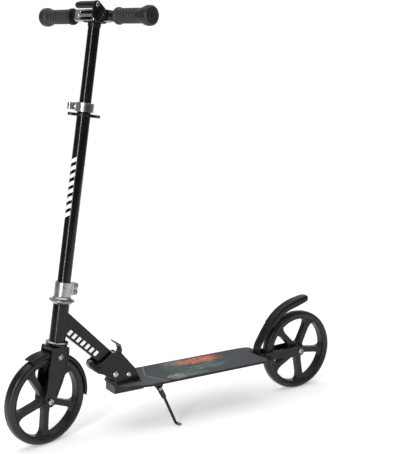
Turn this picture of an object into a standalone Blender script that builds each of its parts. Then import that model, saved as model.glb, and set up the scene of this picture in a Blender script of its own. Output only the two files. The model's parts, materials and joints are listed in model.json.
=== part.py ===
"""Folding kick scooter, standing on its side stand with the bars turned a little to the left.

Metres, +Z up.  The scooter points along -X and its left side is -Y.  The origin is on the
ground, in the middle of the scooter's box.  Each sub-part is one object, parented to an empty
that stands on the joint about which it moves.
"""
import math

import bmesh
import bpy
from mathutils import Matrix, Vector

# ---------------------------------------------------------------- driving dimensions
GAP = 0.0003                      # clearance between faces that touch
CENTRE_X = -0.0008                # puts the middle of the scooter's box over the origin

WHEEL_R = 0.100                   # outer radius of both tyres
TYRE_HALF = 0.014                 # half of a tyre's width
RIM_SEAT_R = 0.0840               # where the tyre sits on the rim
RIM_INNER_R = 0.0806              # outer edge of the openings between the spokes
RIM_HALF = 0.0115                 # half of the rim's width
HUB_R = 0.0150
HUB_HALF = 0.0168
WHEEL_STEPS = 32                  # sides of a wheel
WHEELBASE = 0.6914
FRONT_SPOKE = 175.7                 # first spoke, degrees from straight up towards the rear
REAR_SPOKE = 26.3

HEAD_LEAN = 8.6                   # steering axis leans back from vertical, degrees
STEER = 12.7                      # bars and front wheel turned to the left, degrees
FORK_OFFSET = 0.0135              # front axle ahead of the steering axis

DECK_TOP = 0.1070                 # top of the metal deck
DECK_HALF = 0.0620
DECK_FRONT = -0.1850
DECK_REAR = 0.2400
DECK_THICK = 0.0030
DECK_BOTTOM = 0.1028              # lower edge of the deck's sides
SPINE_HALF = 0.0215               # channel along the middle of the deck
SPINE_BOTTOM = 0.0860
SPINE_REAR = 0.1680
SLOT_X = 0.2180                   # front edge of the slot for the rear fender
TAPE_THICK = 0.0010

FOLD_X, FOLD_Z = -0.1844, 0.1335  # folding pivot
CHEEK_HALF = 0.0215               # inner face of the fold bracket's cheeks
CHEEK_OUT = 0.0250
NECK_HALF = 0.0169

HEAD_TUBE_R = 0.0178
HEAD_TUBE_LOW, HEAD_TUBE_HIGH = 0.1300, 0.2107   # along the steering axis
COLUMN_R = 0.0146                 # lower tube
COLUMN_BORE = 0.0131
COLUMN_LOW, COLUMN_TOP = 0.2275, 0.6410
MAST_R = 0.0128                   # upper, sliding tube
MAST_BORE = 0.0112
MAST_LOW = 0.4700
BUTTON_AT = 0.5134                # height button along the steering axis
BAR_AT = 0.8246                   # handlebar along the steering axis
HANDLE_PIN = 0.0380               # handle pivots to either side of the mast
BAR_HALF = 0.1782                 # outer end of a grip
GRIP_START = 0.0735

BRAKE_X, BRAKE_Z = 0.2268, 0.0966
STAND_X, STAND_Y, STAND_Z = -0.0890, -0.0530, 0.0925

ROUND = 16                        # sides of most round pieces
FINE = 24                         # sides of the large round pieces


# ---------------------------------------------------------------- materials
PALETTE = {
    "black_paint": ((0.012, 0.012, 0.013), 0.38, 0.0),
    "deck_paint": ((0.018, 0.018, 0.019), 0.50, 0.0),
    "black_plastic": ((0.015, 0.015, 0.016), 0.55, 0.0),
    "grey_plastic": ((0.060, 0.060, 0.062), 0.50, 0.0),
    "tyre": ((0.014, 0.014, 0.015), 0.70, 0.0),
    "grip_rubber": ((0.017, 0.017, 0.018), 0.75, 0.0),
    "grip_tape": ((0.045, 0.050, 0.052), 0.92, 0.0),
    "silver": ((0.62, 0.62, 0.63), 0.30, 1.0),
    "chrome": ((0.75, 0.75, 0.76), 0.10, 1.0),
    "steel": ((0.50, 0.50, 0.51), 0.32, 1.0),
}


def make_material(name):
    colour, roughness, metallic = PALETTE[name]
    made = bpy.data.materials.new(name)
    made.use_nodes = True
    shader = made.node_tree.nodes["Principled BSDF"]
    shader.inputs["Base Color"].default_value = (*colour, 1.0)
    shader.inputs["Roughness"].default_value = roughness
    shader.inputs["Metallic"].default_value = metallic
    made.diffuse_color = (*colour, 1.0)
    return made


# ---------------------------------------------------------------- mesh helpers
def clear_scene():
    for item in list(bpy.data.objects):
        bpy.data.objects.remove(item, do_unlink=True)


def add_empty(name, parent, location, rotation_deg=(0.0, 0.0, 0.0)):
    empty = bpy.data.objects.new(name, None)
    bpy.context.collection.objects.link(empty)
    empty.parent = parent
    empty.location = location
    empty.rotation_euler = [math.radians(angle) for angle in rotation_deg]
    return empty


def finish(name, bm, parent, material=None, matrix=None):
    """Turn a bmesh into an object whose origin is its parent's."""
    if matrix is not None:
        bm.transform(matrix)
    bmesh.ops.remove_doubles(bm, verts=bm.verts, dist=1e-6)
    bmesh.ops.recalc_face_normals(bm, faces=bm.faces)
    mesh = bpy.data.meshes.new(name)
    bm.to_mesh(mesh)
    bm.free()
    made = bpy.data.objects.new(name, mesh)
    bpy.context.collection.objects.link(made)
    made.parent = parent
    if material is not None:
        mesh.materials.append(material)
        mesh.shade_smooth()
        mesh.set_sharp_from_angle(angle=math.radians(35))
    return made


def turned(name, outline, parent, material=None, steps=ROUND, matrix=None):
    """Turn a (radius, height) outline about Z; it closes on itself or ends on the axis."""
    bm = bmesh.new()
    verts = [bm.verts.new((radius, 0.0, height)) for radius, height in outline]
    edges = [bm.edges.new(pair) for pair in zip(verts, verts[1:])]
    if outline[0][0] > 1e-6 or outline[-1][0] > 1e-6:
        edges.append(bm.edges.new((verts[-1], verts[0])))
    bmesh.ops.spin(bm, geom=verts + edges, cent=(0, 0, 0), axis=(0, 0, 1),
                   angle=2 * math.pi, steps=steps, use_merge=True)
    return finish(name, bm, parent, material, matrix)


def prism(name, outline, low, high, plane, parent, material=None):
    """Extrude an outline drawn in a plane (XZ, YZ or XY) between two levels of the third axis."""
    place = {"XZ": lambda a, b, level: (a, level, b),
             "YZ": lambda a, b, level: (level, a, b),
             "XY": lambda a, b, level: (a, b, level)}[plane]
    bm = bmesh.new()
    face = bm.faces.new([bm.verts.new(place(a, b, low)) for a, b in outline])
    grown = bmesh.ops.extrude_face_region(bm, geom=[face])
    lift = Vector(place(0, 0, high)) - Vector(place(0, 0, low))
    moved = [item for item in grown["geom"] if isinstance(item, bmesh.types.BMVert)]
    bmesh.ops.translate(bm, verts=moved, vec=lift)
    return finish(name, bm, parent, material)


def box(name, lows, highs, parent, material=None):
    outline = [(lows[0], lows[1]), (highs[0], lows[1]), (highs[0], highs[1]), (lows[0], highs[1])]
    return prism(name, outline, lows[2], highs[2], "XY", parent, material)


def swept(name, path, radii, parent, material=None, steps=12):
    """Sweep a round section of changing radius along a path."""
    points = [Vector(point) for point in path]
    bm = bmesh.new()
    rings = []
    for index, point in enumerate(points):
        before = points[max(index - 1, 0)]
        after = points[min(index + 1, len(points) - 1)]
        along = (after - before).normalized()
        side = along.cross(Vector((1.0, 0.0, 0.0))).normalized()
        other = along.cross(side)
        ring = []
        for step in range(steps):
            angle = 2 * math.pi * step / steps
            offset = side * math.cos(angle) + other * math.sin(angle)
            ring.append(bm.verts.new(point + offset * radii[index]))
        rings.append(ring)
    for first, second in zip(rings, rings[1:]):
        for step in range(steps):
            following = (step + 1) % steps
            bm.faces.new((first[step], first[following], second[following], second[step]))
    bm.faces.new(rings[0])
    bm.faces.new(rings[-1])
    return finish(name, bm, parent, material)


def combine(target, other, operation):
    """Cut, or join, another object into this one, and hide the other."""
    modifier = target.modifiers.new(operation.lower(), "BOOLEAN")
    modifier.operation = operation
    modifier.solver = "EXACT"
    modifier.object = other
    other.hide_render = True
    other.display_type = "WIRE"
    return target


def cut(target, *cutters):
    for cutter in cutters:
        combine(target, cutter, "DIFFERENCE")
    return target


def join(target, *others):
    for other in others:
        combine(target, other, "UNION")
    return target


def arc(centre, radius, first, last, steps):
    """Points on a circle between two angles in degrees, both ends included."""
    points = []
    for step in range(steps + 1):
        angle = math.radians(first + (last - first) * step / steps)
        points.append((centre[0] + radius * math.cos(angle), centre[1] + radius * math.sin(angle)))
    return points


def along_x(x=0.0, y=0.0, z=0.0):
    """A matrix that lays a turned piece's axis along +X."""
    return Matrix.Translation((x, y, z)) @ Matrix.Rotation(math.radians(90), 4, "Y")


def along_y(x=0.0, y=0.0, z=0.0):
    """A matrix that lays a turned piece's axis along +Y."""
    return Matrix.Translation((x, y, z)) @ Matrix.Rotation(math.radians(-90), 4, "X")


def tube(name, outer, bore, low, high, parent, material=None, steps=ROUND, matrix=None):
    outline = [(outer, low), (outer, high), (bore, high), (bore, low)]
    return turned(name, outline, parent, material, steps, matrix)


def rod(name, radius, low, high, parent, material=None, steps=ROUND, matrix=None):
    return turned(name, [(0, low), (radius, low), (radius, high), (0, high)], parent, material,
                  steps, matrix)


def dome_pin(name, shank, head, low, high, head_thick, parent, material, matrix):
    """A pin with a domed head at both ends; low and high are under the heads."""
    crown = head * 0.60
    outline = [(0, low - head_thick), (crown, low - head_thick * 0.92),
               (head, low - head_thick * 0.35), (head, low), (shank, low),
               (shank, high), (head, high), (head, high + head_thick * 0.35),
               (crown, high + head_thick * 0.92), (0, high + head_thick)]
    return turned(name, outline, parent, material, 10, matrix)


# ---------------------------------------------------------------- frames of the moving pieces
def front_base_height():
    """Height of the steering frame's origin that puts the turned front tyre on the ground."""
    lean = math.radians(HEAD_LEAN)
    steer = math.radians(STEER)
    tilt = math.asin(math.sin(steer) * math.sin(lean))
    band = 0.3 * TYRE_HALF
    lowest = WHEEL_R * math.cos(tilt) + band * math.sin(tilt)
    return lowest - FORK_OFFSET * math.cos(steer) * math.sin(lean)


def make_frames():
    lean = math.radians(HEAD_LEAN)
    steer_x = -WHEELBASE / 2 + FORK_OFFSET * math.cos(lean)
    frames = {"deck": add_empty("deck_frame", None, (CENTRE_X, 0, 0))}
    frames["fold"] = add_empty("fold_axis", frames["deck"], (FOLD_X, 0, FOLD_Z))
    head_at = (steer_x - FOLD_X, 0, front_base_height() - FOLD_Z)
    frames["head"] = add_empty("head_frame", frames["fold"], head_at, (0, HEAD_LEAN, 0))
    frames["steer"] = add_empty("steering_axis", frames["head"], (0, 0, 0), (0, 0, STEER))
    frames["front_wheel"] = add_empty("front_wheel_axis", frames["steer"], (-FORK_OFFSET, 0, 0))
    frames["button"] = add_empty("button_axis", frames["steer"], (COLUMN_R, 0, BUTTON_AT))
    frames["clamp_lever"] = add_empty("clamp_lever_axis", frames["steer"], CLAMP_PIVOT)
    frames["mast"] = add_empty("mast_axis", frames["steer"], (0, 0, 0))
    frames["left_handle"] = add_empty("left_handle_axis", frames["mast"], (0, -HANDLE_PIN, BAR_AT))
    frames["right_handle"] = add_empty("right_handle_axis", frames["mast"], (0, HANDLE_PIN, BAR_AT),
                                       (-0.4, 0, 0))
    frames["lock"] = add_empty("lock_axis", frames["mast"], LOCK_PIVOT)
    frames["release"] = add_empty("release_axis", frames["fold"],
                                  (RELEASE_X - FOLD_X, 0, RELEASE_Z - FOLD_Z))
    frames["rear_wheel"] = add_empty("rear_wheel_axis", frames["deck"], (WHEELBASE / 2, 0, WHEEL_R))
    frames["brake"] = add_empty("brake_axis", frames["deck"], (BRAKE_X, 0, BRAKE_Z))
    frames["stand"] = add_empty("stand_axis", frames["deck"], (STAND_X, STAND_Y, STAND_Z))
    return frames


# ---------------------------------------------------------------- wheels
def spoke_half(radius):
    """Half the width of a spoke: slim in the middle, flared at the rim."""
    flare = max(0.0, (radius - 0.058) / (RIM_INNER_R - 0.058))
    root = max(0.0, (0.030 - radius) / 0.012)
    return 0.0060 + 0.0060 * flare ** 2 + 0.0012 * root


def spoke_opening(first_deg, last_deg):
    """Outline of the opening between two spokes whose centre lines are at these angles."""
    radii = [0.0200, 0.0260, 0.0600, 0.0700, 0.0760]
    points = []
    for radius in radii:
        points.append((radius, math.radians(first_deg) + spoke_half(radius) / radius))
    start = math.radians(first_deg) + 0.0125 / RIM_INNER_R
    end = math.radians(last_deg) - 0.0125 / RIM_INNER_R
    for step in range(6):
        points.append((RIM_INNER_R, start + (end - start) * step / 5))
    for radius in reversed(radii):
        points.append((radius, math.radians(last_deg) - spoke_half(radius) / radius))
    return [(radius * math.sin(angle), radius * math.cos(angle)) for radius, angle in points]


def build_wheel(prefix, frame, first_spoke, tread_turn, materials):
    """Tyre, spoked rim and two bearings; tread_turn brings a flat of the tread to the ground."""
    half = TYRE_HALF
    flat_r = WHEEL_R / math.cos(math.pi / WHEEL_STEPS)
    tread = [(RIM_SEAT_R + GAP, -0.85 * half), (0.0905, -half), (0.0955, -0.93 * half),
             (0.0988, -0.65 * half), (flat_r, -0.30 * half), (flat_r, 0.30 * half),
             (0.0988, 0.65 * half), (0.0955, 0.93 * half), (0.0905, half),
             (RIM_SEAT_R + GAP, 0.85 * half)]
    aim = along_y() @ Matrix.Rotation(math.pi / WHEEL_STEPS - tread_turn, 4, "Z")
    turned(prefix + "_tyre", tread, frame, materials["tyre"], WHEEL_STEPS, aim)

    outline = [(0.0082, -HUB_HALF + 0.0070), (0.0112, -HUB_HALF + 0.0070),
               (0.0112, -HUB_HALF), (HUB_R - 0.001, -HUB_HALF), (HUB_R, -HUB_HALF + 0.001),
               (HUB_R + 0.002, -0.0085), (0.0720, -0.0085), (0.0785, -RIM_HALF),
               (RIM_SEAT_R, -RIM_HALF), (RIM_SEAT_R, RIM_HALF), (0.0785, RIM_HALF),
               (0.0720, 0.0085), (HUB_R + 0.002, 0.0085), (HUB_R, HUB_HALF - 0.001),
               (HUB_R - 0.001, HUB_HALF), (0.0112, HUB_HALF), (0.0112, HUB_HALF - 0.0070),
               (0.0082, HUB_HALF - 0.0070)]
    rim = turned(prefix + "_rim", outline, frame, materials["black_plastic"], WHEEL_STEPS, aim)
    for index in range(5):
        angle = first_spoke + 72 * index
        opening = prism(f"{prefix}_opening_{index}", spoke_opening(angle, angle + 72),
                        -0.03, 0.03, "XZ", frame)
        cut(rim, opening)

    for side, word in ((-1, "left"), (1, "right")):
        low = HUB_HALF - 0.0070 + GAP
        ends = sorted((side * low, side * (HUB_HALF + 0.0001)))
        tube(f"{prefix}_bearing_{word}", 0.0112 - GAP, 0.0043, ends[0], ends[1], frame,
             materials["steel"], 16, along_y())


def build_axle(name, frame, x, z, inner, materials):
    """Wheel axle: a bolt through both wheel bearings and both legs."""
    dome_pin(name, 0.0040, 0.0068, -inner, inner, 0.0036, frame, materials["silver"],
             along_y(x, 0, z))


# ---------------------------------------------------------------- fork and front fender
LEG_IN, LEG_OUT = 0.0172, 0.0210
CROWN_LOW, CROWN_TOP = 0.1095, 0.1185


def leg_outline():
    eye = (-FORK_OFFSET, 0.0)
    bottom = arc(eye, 0.0130, 180, 360, 8)
    return ([(-0.0245, CROWN_TOP), (-0.0262, 0.0600)] + bottom +
            [(0.0040, 0.0120), (0.0130, 0.0400), (0.0195, 0.0680), (0.0220, 0.1000),
             (0.0200, CROWN_TOP)])


def build_fork_leg(word, side, frame, materials):
    """A pressed leg: a plate whose middle is sunk, so that a rib runs round its edge."""
    low, high = sorted((side * LEG_IN, side * LEG_OUT))
    leg = prism("fork_leg_" + word, leg_outline(), low, high, "XZ", frame, materials["black_paint"])
    bm = bmesh.new()
    bm.from_mesh(leg.data)
    outer = [face for face in bm.faces if abs(face.normal.y) > 0.9
             and abs(face.calc_center_median().y) > (LEG_IN + LEG_OUT) / 2]
    bmesh.ops.inset_region(bm, faces=outer, thickness=0.0035, depth=0.0)
    bmesh.ops.inset_region(bm, faces=outer, thickness=0.0008, depth=-0.0016)
    bm.to_mesh(leg.data)
    bm.free()
    leg.data.shade_smooth()
    leg.data.set_sharp_from_angle(angle=math.radians(35))
    cut(leg, rod(f"leg_hole_{word}", 0.0043, -0.05, 0.05, frame, None, 14, along_y(-FORK_OFFSET)),
        rod(f"leg_bolt_hole_{word}", 0.0028, -0.05, 0.05, frame, None, 12, along_y(*FENDER_BOLT)))
    bolt = [(0, side * 0.0153), (0.0025, side * 0.0153), (0.0025, side * 0.01975),
            (0.0062, side * 0.01975), (0.0062, side * 0.0213), (0.0035, side * 0.0234),
            (0, side * 0.0238)]
    turned("fender_bolt_" + word, bolt, frame, materials["silver"], 14, along_y(*FENDER_BOLT))


FENDER_BOLT = (-0.0003, 0.0, 0.0970)


def build_fork(frame, materials):
    for word, side in (("left", -1), ("right", 1)):
        build_fork_leg(word, side, frame, materials)
    crown = prism("fork_crown", [(-0.0235, CROWN_LOW), (0.0195, CROWN_LOW), (0.0190, CROWN_TOP),
                                 (-0.0240, CROWN_TOP)],
                  -LEG_IN + GAP, LEG_IN - GAP, "XZ", frame, materials["black_paint"])
    cut(crown, rod("crown_bore", 0.0131, 0.05, 0.15, frame))
    tube("steerer", 0.0128, 0.0108, CROWN_LOW + 0.0005, 0.2620, frame, materials["steel"])
    build_axle("front_axle", frame, -FORK_OFFSET, 0, 0.01975, materials)

    centre = (-FORK_OFFSET + 0.0005, 0.0026)
    first, last = 180 - 56.5, 0.0
    section = arc(centre, 0.1045, first, last, 14) + arc(centre, 0.1027, last, first, 14)
    fender = prism("front_fender", section, -0.0168, 0.0168, "XZ", frame,
                   materials["black_plastic"])
    lips = []
    for side in (-1, 1):
        low, high = sorted((side * 0.0152, side * 0.0168))
        edge = (arc(centre, 0.1035, first, last, 14) +
                arc(centre, 0.0955, last + 4, first - 6, 14))
        lips.append(prism(f"fender_lip_{high:.3f}", edge, low, high, "XZ", frame))
        tab = [(-0.0080, 0.1050), (-0.0080, 0.0900), (0.0075, 0.0900), (0.0075, 0.1050)]
        lips.append(prism(f"fender_tab_{high:.3f}", tab, low, high, "XZ", frame))
    join(fender, *lips)
    cut(fender, rod("fender_bolt_bore", 0.0028, -0.05, 0.05, frame, None, 12,
                    along_y(*FENDER_BOLT)))


# ---------------------------------------------------------------- steering column
CLAMP_LOW, CLAMP_TOP = 0.6235, 0.6425
CLAMP_PIVOT = (-0.0270, 0.0150, 0.6330)


def build_collar(name, outer, low, high, ears, bolts, frame, material):
    """Split ring round the column, with two ears that its bolts pull together."""
    ring = tube(name, outer, COLUMN_R + GAP, low, high, frame, material, FINE)
    ears_low, ears_high = sorted(ears)
    margin = 0.0020
    block = box(name + "_ears", (ears_low, -0.0078, low + margin), (ears_high, 0.0078, high - margin),
                frame)
    cut(block, rod(name + "_ear_bore", COLUMN_R + GAP, low - 0.01, high + 0.01, frame, None, FINE))
    join(ring, block)
    slot = sorted((ears[0] * 0.5, ears[1] * 1.2))
    cut(ring, box(name + "_slot", (slot[0], -0.0012, low - 0.01), (slot[1], 0.0012, high + 0.01),
                  frame))
    for height in bolts:
        across = (ears[0] + ears[1]) / 2 + (0.003 if ears[0] > 0 else -0.003)
        cut(ring, rod(f"{name}_bore_{height}", 0.0031, -0.03, 0.03, frame, None, 12,
                      along_y(across, 0, height)))
    return ring


def build_column(frame, materials):
    column = tube("lower_column", COLUMN_R, COLUMN_BORE, COLUMN_LOW, COLUMN_TOP, frame,
                  materials["black_paint"], FINE)
    cut(column, rod("button_hole", 0.0033, 0.010, 0.030, frame, None, 14, along_x(0, 0, BUTTON_AT)))

    cap = [(0.0137, 0.2172), (0.0276, 0.2172), (0.0282, 0.2190), (0.0276, 0.2204),
           (0.0215, 0.2225), (0.0180, 0.2268), (0.0137, 0.2268)]
    turned("headset_cap", cap, frame, materials["silver"], FINE)

    ears = (0.0180, 0.0335)
    bolts = (0.2375, 0.2510)
    build_collar("lower_collar", 0.0188, 0.2275, 0.2585, ears, bolts, frame, materials["silver"])
    for word, height in zip(("lower", "upper"), bolts):
        dome_pin("collar_bolt_" + word, 0.0028, 0.0048, -0.0081, 0.0081, 0.0030, frame,
                 materials["steel"], along_y(sum(ears) / 2 + 0.003, 0, height))


def build_clip(frame, materials):
    """Ring below the height clamp, with an open cradle on each side for a folded handle."""
    low, high = 0.6138, 0.6203
    clip = tube("handle_clip", 0.0182, COLUMN_R + GAP, low, high, frame,
                materials["black_plastic"], FINE)
    for side in (-1, 1):
        centre = (0.0, side * 0.0390)
        inward = -90 * side
        cradle = (arc(centre, 0.0182, inward - 72, inward + 72, 12) +
                  arc(centre, 0.0158, inward + 72, inward - 72, 12))
        join(clip, prism(f"cradle_{inward}", cradle, low, high, "XY", frame))
        near, far = sorted((side * 0.0165, side * 0.0225))
        join(clip, box(f"cradle_arm_{inward}", (-0.0070, near, low + 0.001),
                       (0.0070, far, high - 0.001), frame))
    cut(clip, rod("clip_bore", COLUMN_R + GAP, 0.60, 0.63, frame, None, FINE))


def build_height_clamp(frame, lever_frame, materials):
    ears = (-0.0180, -0.0330)
    build_collar("height_clamp", 0.0196, CLAMP_LOW, CLAMP_TOP, ears, (0.6330,), frame,
                 materials["silver"])
    pin_x = sum(ears) / 2 - 0.003
    bolt = [(0, -0.0125), (0.0045, -0.0125), (0.0062, -0.0110), (0.0062, -0.0081),
            (0.0028, -0.0081), (0.0028, 0.0088), (0, 0.0088)]
    turned("clamp_bolt", bolt, frame, materials["steel"], 14, along_y(pin_x, 0, 0.6330))

    outline = (arc((0, 0), 0.0060, 95, 300, 8) +
               [(0.0120, -0.0005), (0.0200, 0.0045), (0.0300, 0.0064), (0.0370, 0.0058),
                (0.0400, 0.0075), (0.0390, 0.0098), (0.0300, 0.0102), (0.0170, 0.0088),
                (0.0070, 0.0070)])
    prism("clamp_lever", outline, -0.0070, 0.0070, "XY", lever_frame, materials["silver"])


def build_button(frame, materials):
    outline = [(0, -0.0036), (0.0028, -0.0036), (0.0028, 0.0030), (0.0018, 0.0042), (0, 0.0045)]
    turned("height_button", outline, frame, materials["steel"], 14, along_x())


# ---------------------------------------------------------------- mast, T head and handles
LOCK_PIVOT = (-0.0167, 0.0, 0.8453)
HEAD_GAP = 0.0088                 # half of the slot in the T head that the handles fold in
HEAD_HALF = 0.0125


def build_mast(frame, materials):
    mast = tube("upper_column", MAST_R, MAST_BORE, MAST_LOW, 0.8085, frame,
                materials["black_paint"], FINE)
    cut(mast, box("mast_slot", (0.004, -0.0036, MAST_LOW - 0.01), (0.030, 0.0036, 0.7000), frame))


def build_tee(frame, lock_frame, materials):
    """T head: a hub, a fork for each handle's lug, and a cheek that holds the lock bar."""
    bore = MAST_R + GAP
    outline = [(bore, 0.8020), (0.0136, 0.8020), (0.0140, 0.8030), (0.0140, 0.8120),
               (0.0120, 0.8120), (0.0120, 0.8140), (0, 0.8140), (0, 0.8100), (bore, 0.8100)]
    tee = turned("tee_head", outline, frame, materials["black_plastic"], FINE)
    across = HEAD_HALF
    wall = 0.0235
    block = box("tee_block", (-across, -wall, 0.8110), (across, wall, 0.8375), frame)
    plate = [(-0.0445, 0.8180), (-0.0470, 0.8200), (-0.0470, 0.8310), (-0.0445, 0.8355),
             (0.0455, 0.8360), (0.0480, 0.8310), (0.0480, 0.8190), (0.0455, 0.8160),
             (0.0180, 0.8100), (-0.0180, 0.8105), (-0.0240, 0.8145)]
    rear = prism("tee_rear", plate, HEAD_GAP, across, "YZ", frame)
    front = prism("tee_front", plate, -across, -HEAD_GAP, "YZ", frame)
    x, z = LOCK_PIVOT[0], LOCK_PIVOT[2]
    gable = arc((x, z), 0.0088, 50, 180, 8) + [(-0.0262, 0.8400), (-0.0262, 0.8200),
                                               (-0.0140, 0.8115), (0.0125, 0.8115),
                                               (0.0175, 0.8200), (0.0175, 0.8335)]
    cheek = prism("tee_cheek", gable, -wall, -wall + 0.0038, "XZ", frame)
    join(tee, block, rear, front)
    slots = []
    for word, low, high in (("left", -0.060, -wall), ("right", wall, 0.060)):
        slots.append(box(f"tee_slot_{word}", (-HEAD_GAP, low, 0.79), (HEAD_GAP, high, 0.87), frame))
    roof = box("tee_roof", (-HEAD_GAP, -wall - 0.001, 0.8376), (HEAD_GAP, wall + 0.001, 0.87), frame)
    pins = [rod(f"tee_pin_{side}", 0.0038, -0.03, 0.03, frame, None, 14,
                along_x(0, side * HANDLE_PIN, BAR_AT)) for side in (-1, 1)]
    socket = rod("tee_socket", bore, 0.7800, 0.8100, frame, None, FINE)
    cut(tee, *slots, roof, *pins, socket)
    join(tee, cheek)
    cut(tee, rod("tee_lock_hole", 0.0032, -0.05, 0.05, frame, None, 14, along_y(x, 0, z)))

    face = -across - GAP
    frame_low, frame_high = 0.8128, 0.8362
    window = [(-0.0150, frame_low), (0.0475, frame_low), (0.0490, frame_low + 0.0015),
              (0.0490, frame_high - 0.0015), (0.0475, frame_high), (-0.0150, frame_high)]
    strap = prism("tee_strap", window, face - 0.0034, face, "YZ", frame, materials["chrome"])
    upper = box("strap_upper", (-0.03, -0.0095, 0.8272), (0, 0.0300, 0.8340), frame)
    lower = box("strap_lower", (-0.03, -0.0095, 0.8150), (0, 0.0300, 0.8212), frame)
    strap_pin = rod("strap_pin", 0.0038, -0.03, 0.03, frame, None, 14,
                    along_x(0, HANDLE_PIN, BAR_AT))
    cut(strap, upper, lower, strap_pin)

    dome_pin("handle_pin_left", 0.0035, 0.0052, face, across + GAP, 0.0022, frame,
             materials["black_paint"], along_x(0, -HANDLE_PIN, BAR_AT))
    dome_pin("handle_pin_right", 0.0035, 0.0052, face - 0.0034 - GAP, across + GAP, 0.0022, frame,
             materials["steel"], along_x(0, HANDLE_PIN, BAR_AT))
    start = -wall + 0.0038 + GAP
    bolt = [(0, -wall - GAP - 0.0030), (0.0030, -wall - GAP - 0.0027),
            (0.0054, -wall - GAP - 0.0008), (0.0054, -wall - GAP), (0.0029, -wall - GAP),
            (0.0029, 0.0300), (0, 0.0300)]
    turned("lock_bolt", bolt, frame, materials["silver"], 14, along_y(x, 0, z))

    bar = [(0.0032, start), (0.0060, start), (0.0070, start + 0.0012), (0.0070, 0.0405),
           (0.0062, 0.0433), (0.0040, 0.0449), (0, 0.0453), (0, 0.0310), (0.0032, 0.0310)]
    lever = turned("lock_lever", bar, lock_frame, materials["black_plastic"], 16, along_y())
    join(lever, box("lock_ridge", (-0.0015, start + 0.004, 0.0060), (0.0015, 0.0370, 0.0078),
                    lock_frame))


def build_handle(word, side, frame, materials):
    """A handle that swings down on its pin: flat lug, tube and rubber grip."""
    lug = prism(word + "_handle", arc((0, 0), 0.0125, 90, 270, 10) + [(0.0185, -0.0105),
                                                                      (0.0185, 0.0105)],
                -HEAD_GAP + GAP, HEAD_GAP - GAP, "YZ", frame,
                materials["chrome"] if side > 0 else materials["black_paint"])
    if side < 0:
        lug.data.transform(Matrix.Scale(-1, 4, (0, 1, 0)))
        lug.data.flip_normals()
    start, end = GRIP_START - HANDLE_PIN, BAR_HALF - HANDLE_PIN
    shaft = [(0, 0.0175), (0.0112, 0.0175), (0.0112, 0.0235), (0.0100, 0.0260),
             (0.0100, end - 0.0040), (0, end - 0.0040)]
    aim = along_y() if side > 0 else Matrix.Rotation(math.pi, 4, "Z") @ along_y()
    join(lug, turned(f"{word}_shaft", shaft, frame, None, 18, aim))
    cut(lug, rod(f"{word}_pin_bore", 0.0038, -0.03, 0.03, frame, None, 14, along_x()))

    bore = 0.0100 + GAP
    grip = [(bore, start), (0.0155, start), (0.0178, start + 0.002), (0.0178, start + 0.005),
            (0.0152, start + 0.008), (0.0152, end - 0.0230), (0.0190, end - 0.0190),
            (0.0205, end - 0.0120), (0.0200, end - 0.0040), (0.0165, end), (0, end),
            (0, end - 0.0035), (bore, end - 0.0035)]
    turned(word + "_grip", grip, frame, materials["grip_rubber"], FINE, aim)


# ---------------------------------------------------------------- neck and head tube
def build_head(head_frame, fold_frame, materials):
    tube("head_tube", HEAD_TUBE_R, 0.0162, HEAD_TUBE_LOW, HEAD_TUBE_HIGH, head_frame,
         materials["black_paint"], FINE)
    upper = [(0.0137, 0.2112), (0.0165, 0.2112), (0.0200, 0.2112), (0.0252, 0.2155),
             (0.0264, 0.2169), (0.0137, 0.2169)]
    turned("headset_cup_upper", upper, head_frame, materials["silver"], FINE)
    lower = [(0.0140, 0.1190), (0.0220, 0.1190), (0.0220, 0.1216), (0.0246, 0.1220),
             (0.0252, 0.1232), (0.0252, 0.1262), (0.0244, 0.1278), (0.0196, 0.1297),
             (0.0140, 0.1297)]
    turned("headset_cup_lower", lower, head_frame, materials["silver"], FINE)

    outline = [(-0.1180, 0.1650), (-0.0100, 0.0560), (-0.0010, 0.0460), (0.0170, 0.0400),
               (0.0200, 0.0270), (0.0135, 0.0120)]
    outline += arc((0, 0), 0.0150, 20, -140, 10)
    outline += [(-0.0340, 0.0290), (-0.0520, 0.0465), (-0.1240, 0.1120), (-0.1240, 0.1600)]
    neck = prism("neck", outline, -NECK_HALF, NECK_HALF, "XZ", fold_frame, materials["black_paint"])
    hollow = [(-0.1300, 0.1720), (-0.0115, 0.0525), (-0.0040, 0.0435), (0.0010, 0.0420),
              (0.0010, 0.0600), (0.0300, 0.0600), (0.0300, -0.0400), (-0.0380, -0.0400),
              (-0.0310, 0.0315), (-0.1300, 0.1225)]
    inner = prism("neck_hollow", hollow, -NECK_HALF + 0.0035, NECK_HALF - 0.0035, "XZ", fold_frame)
    clearance = rod("neck_head_cut", HEAD_TUBE_R + GAP, 0.05, 0.30, head_frame, None, FINE)
    pin = rod("neck_pin_bore", 0.0053, -0.05, 0.05, fold_frame, None, 14, along_y())
    release = rod("neck_release_bore", 0.0023, -0.05, 0.05, fold_frame, None, 12,
                  along_y(RELEASE_X - FOLD_X, 0, RELEASE_Z - FOLD_Z))
    cut(neck, inner, clearance, pin, release)


RELEASE_X, RELEASE_Z = -0.1720, 0.1660


def build_release(frame, fold_frame, materials):
    """Foot lever that lets the neck fold: a bent strip that turns on a pin in the neck."""
    outline = (arc((0, 0), 0.0045, -200, 20, 8) +
               [(0.0115, 0.0100), (0.0130, 0.0155), (0.0095, 0.0290), (-0.0048, 0.0390),
                (-0.0068, 0.0366), (0.0052, 0.0262), (0.0088, 0.0155), (0.0066, 0.0105)])
    lever = prism("release_lever", outline, -0.0100, 0.0100, "XZ", frame, materials["steel"])
    cut(lever, rod("release_bore", 0.0023, -0.03, 0.03, frame, None, 12, along_y()))
    at = (RELEASE_X - FOLD_X, 0, RELEASE_Z - FOLD_Z)
    rod("release_pin", 0.0020, -NECK_HALF + 0.0002, NECK_HALF - 0.0002, fold_frame,
        materials["steel"], 12, along_y(*at))


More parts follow.
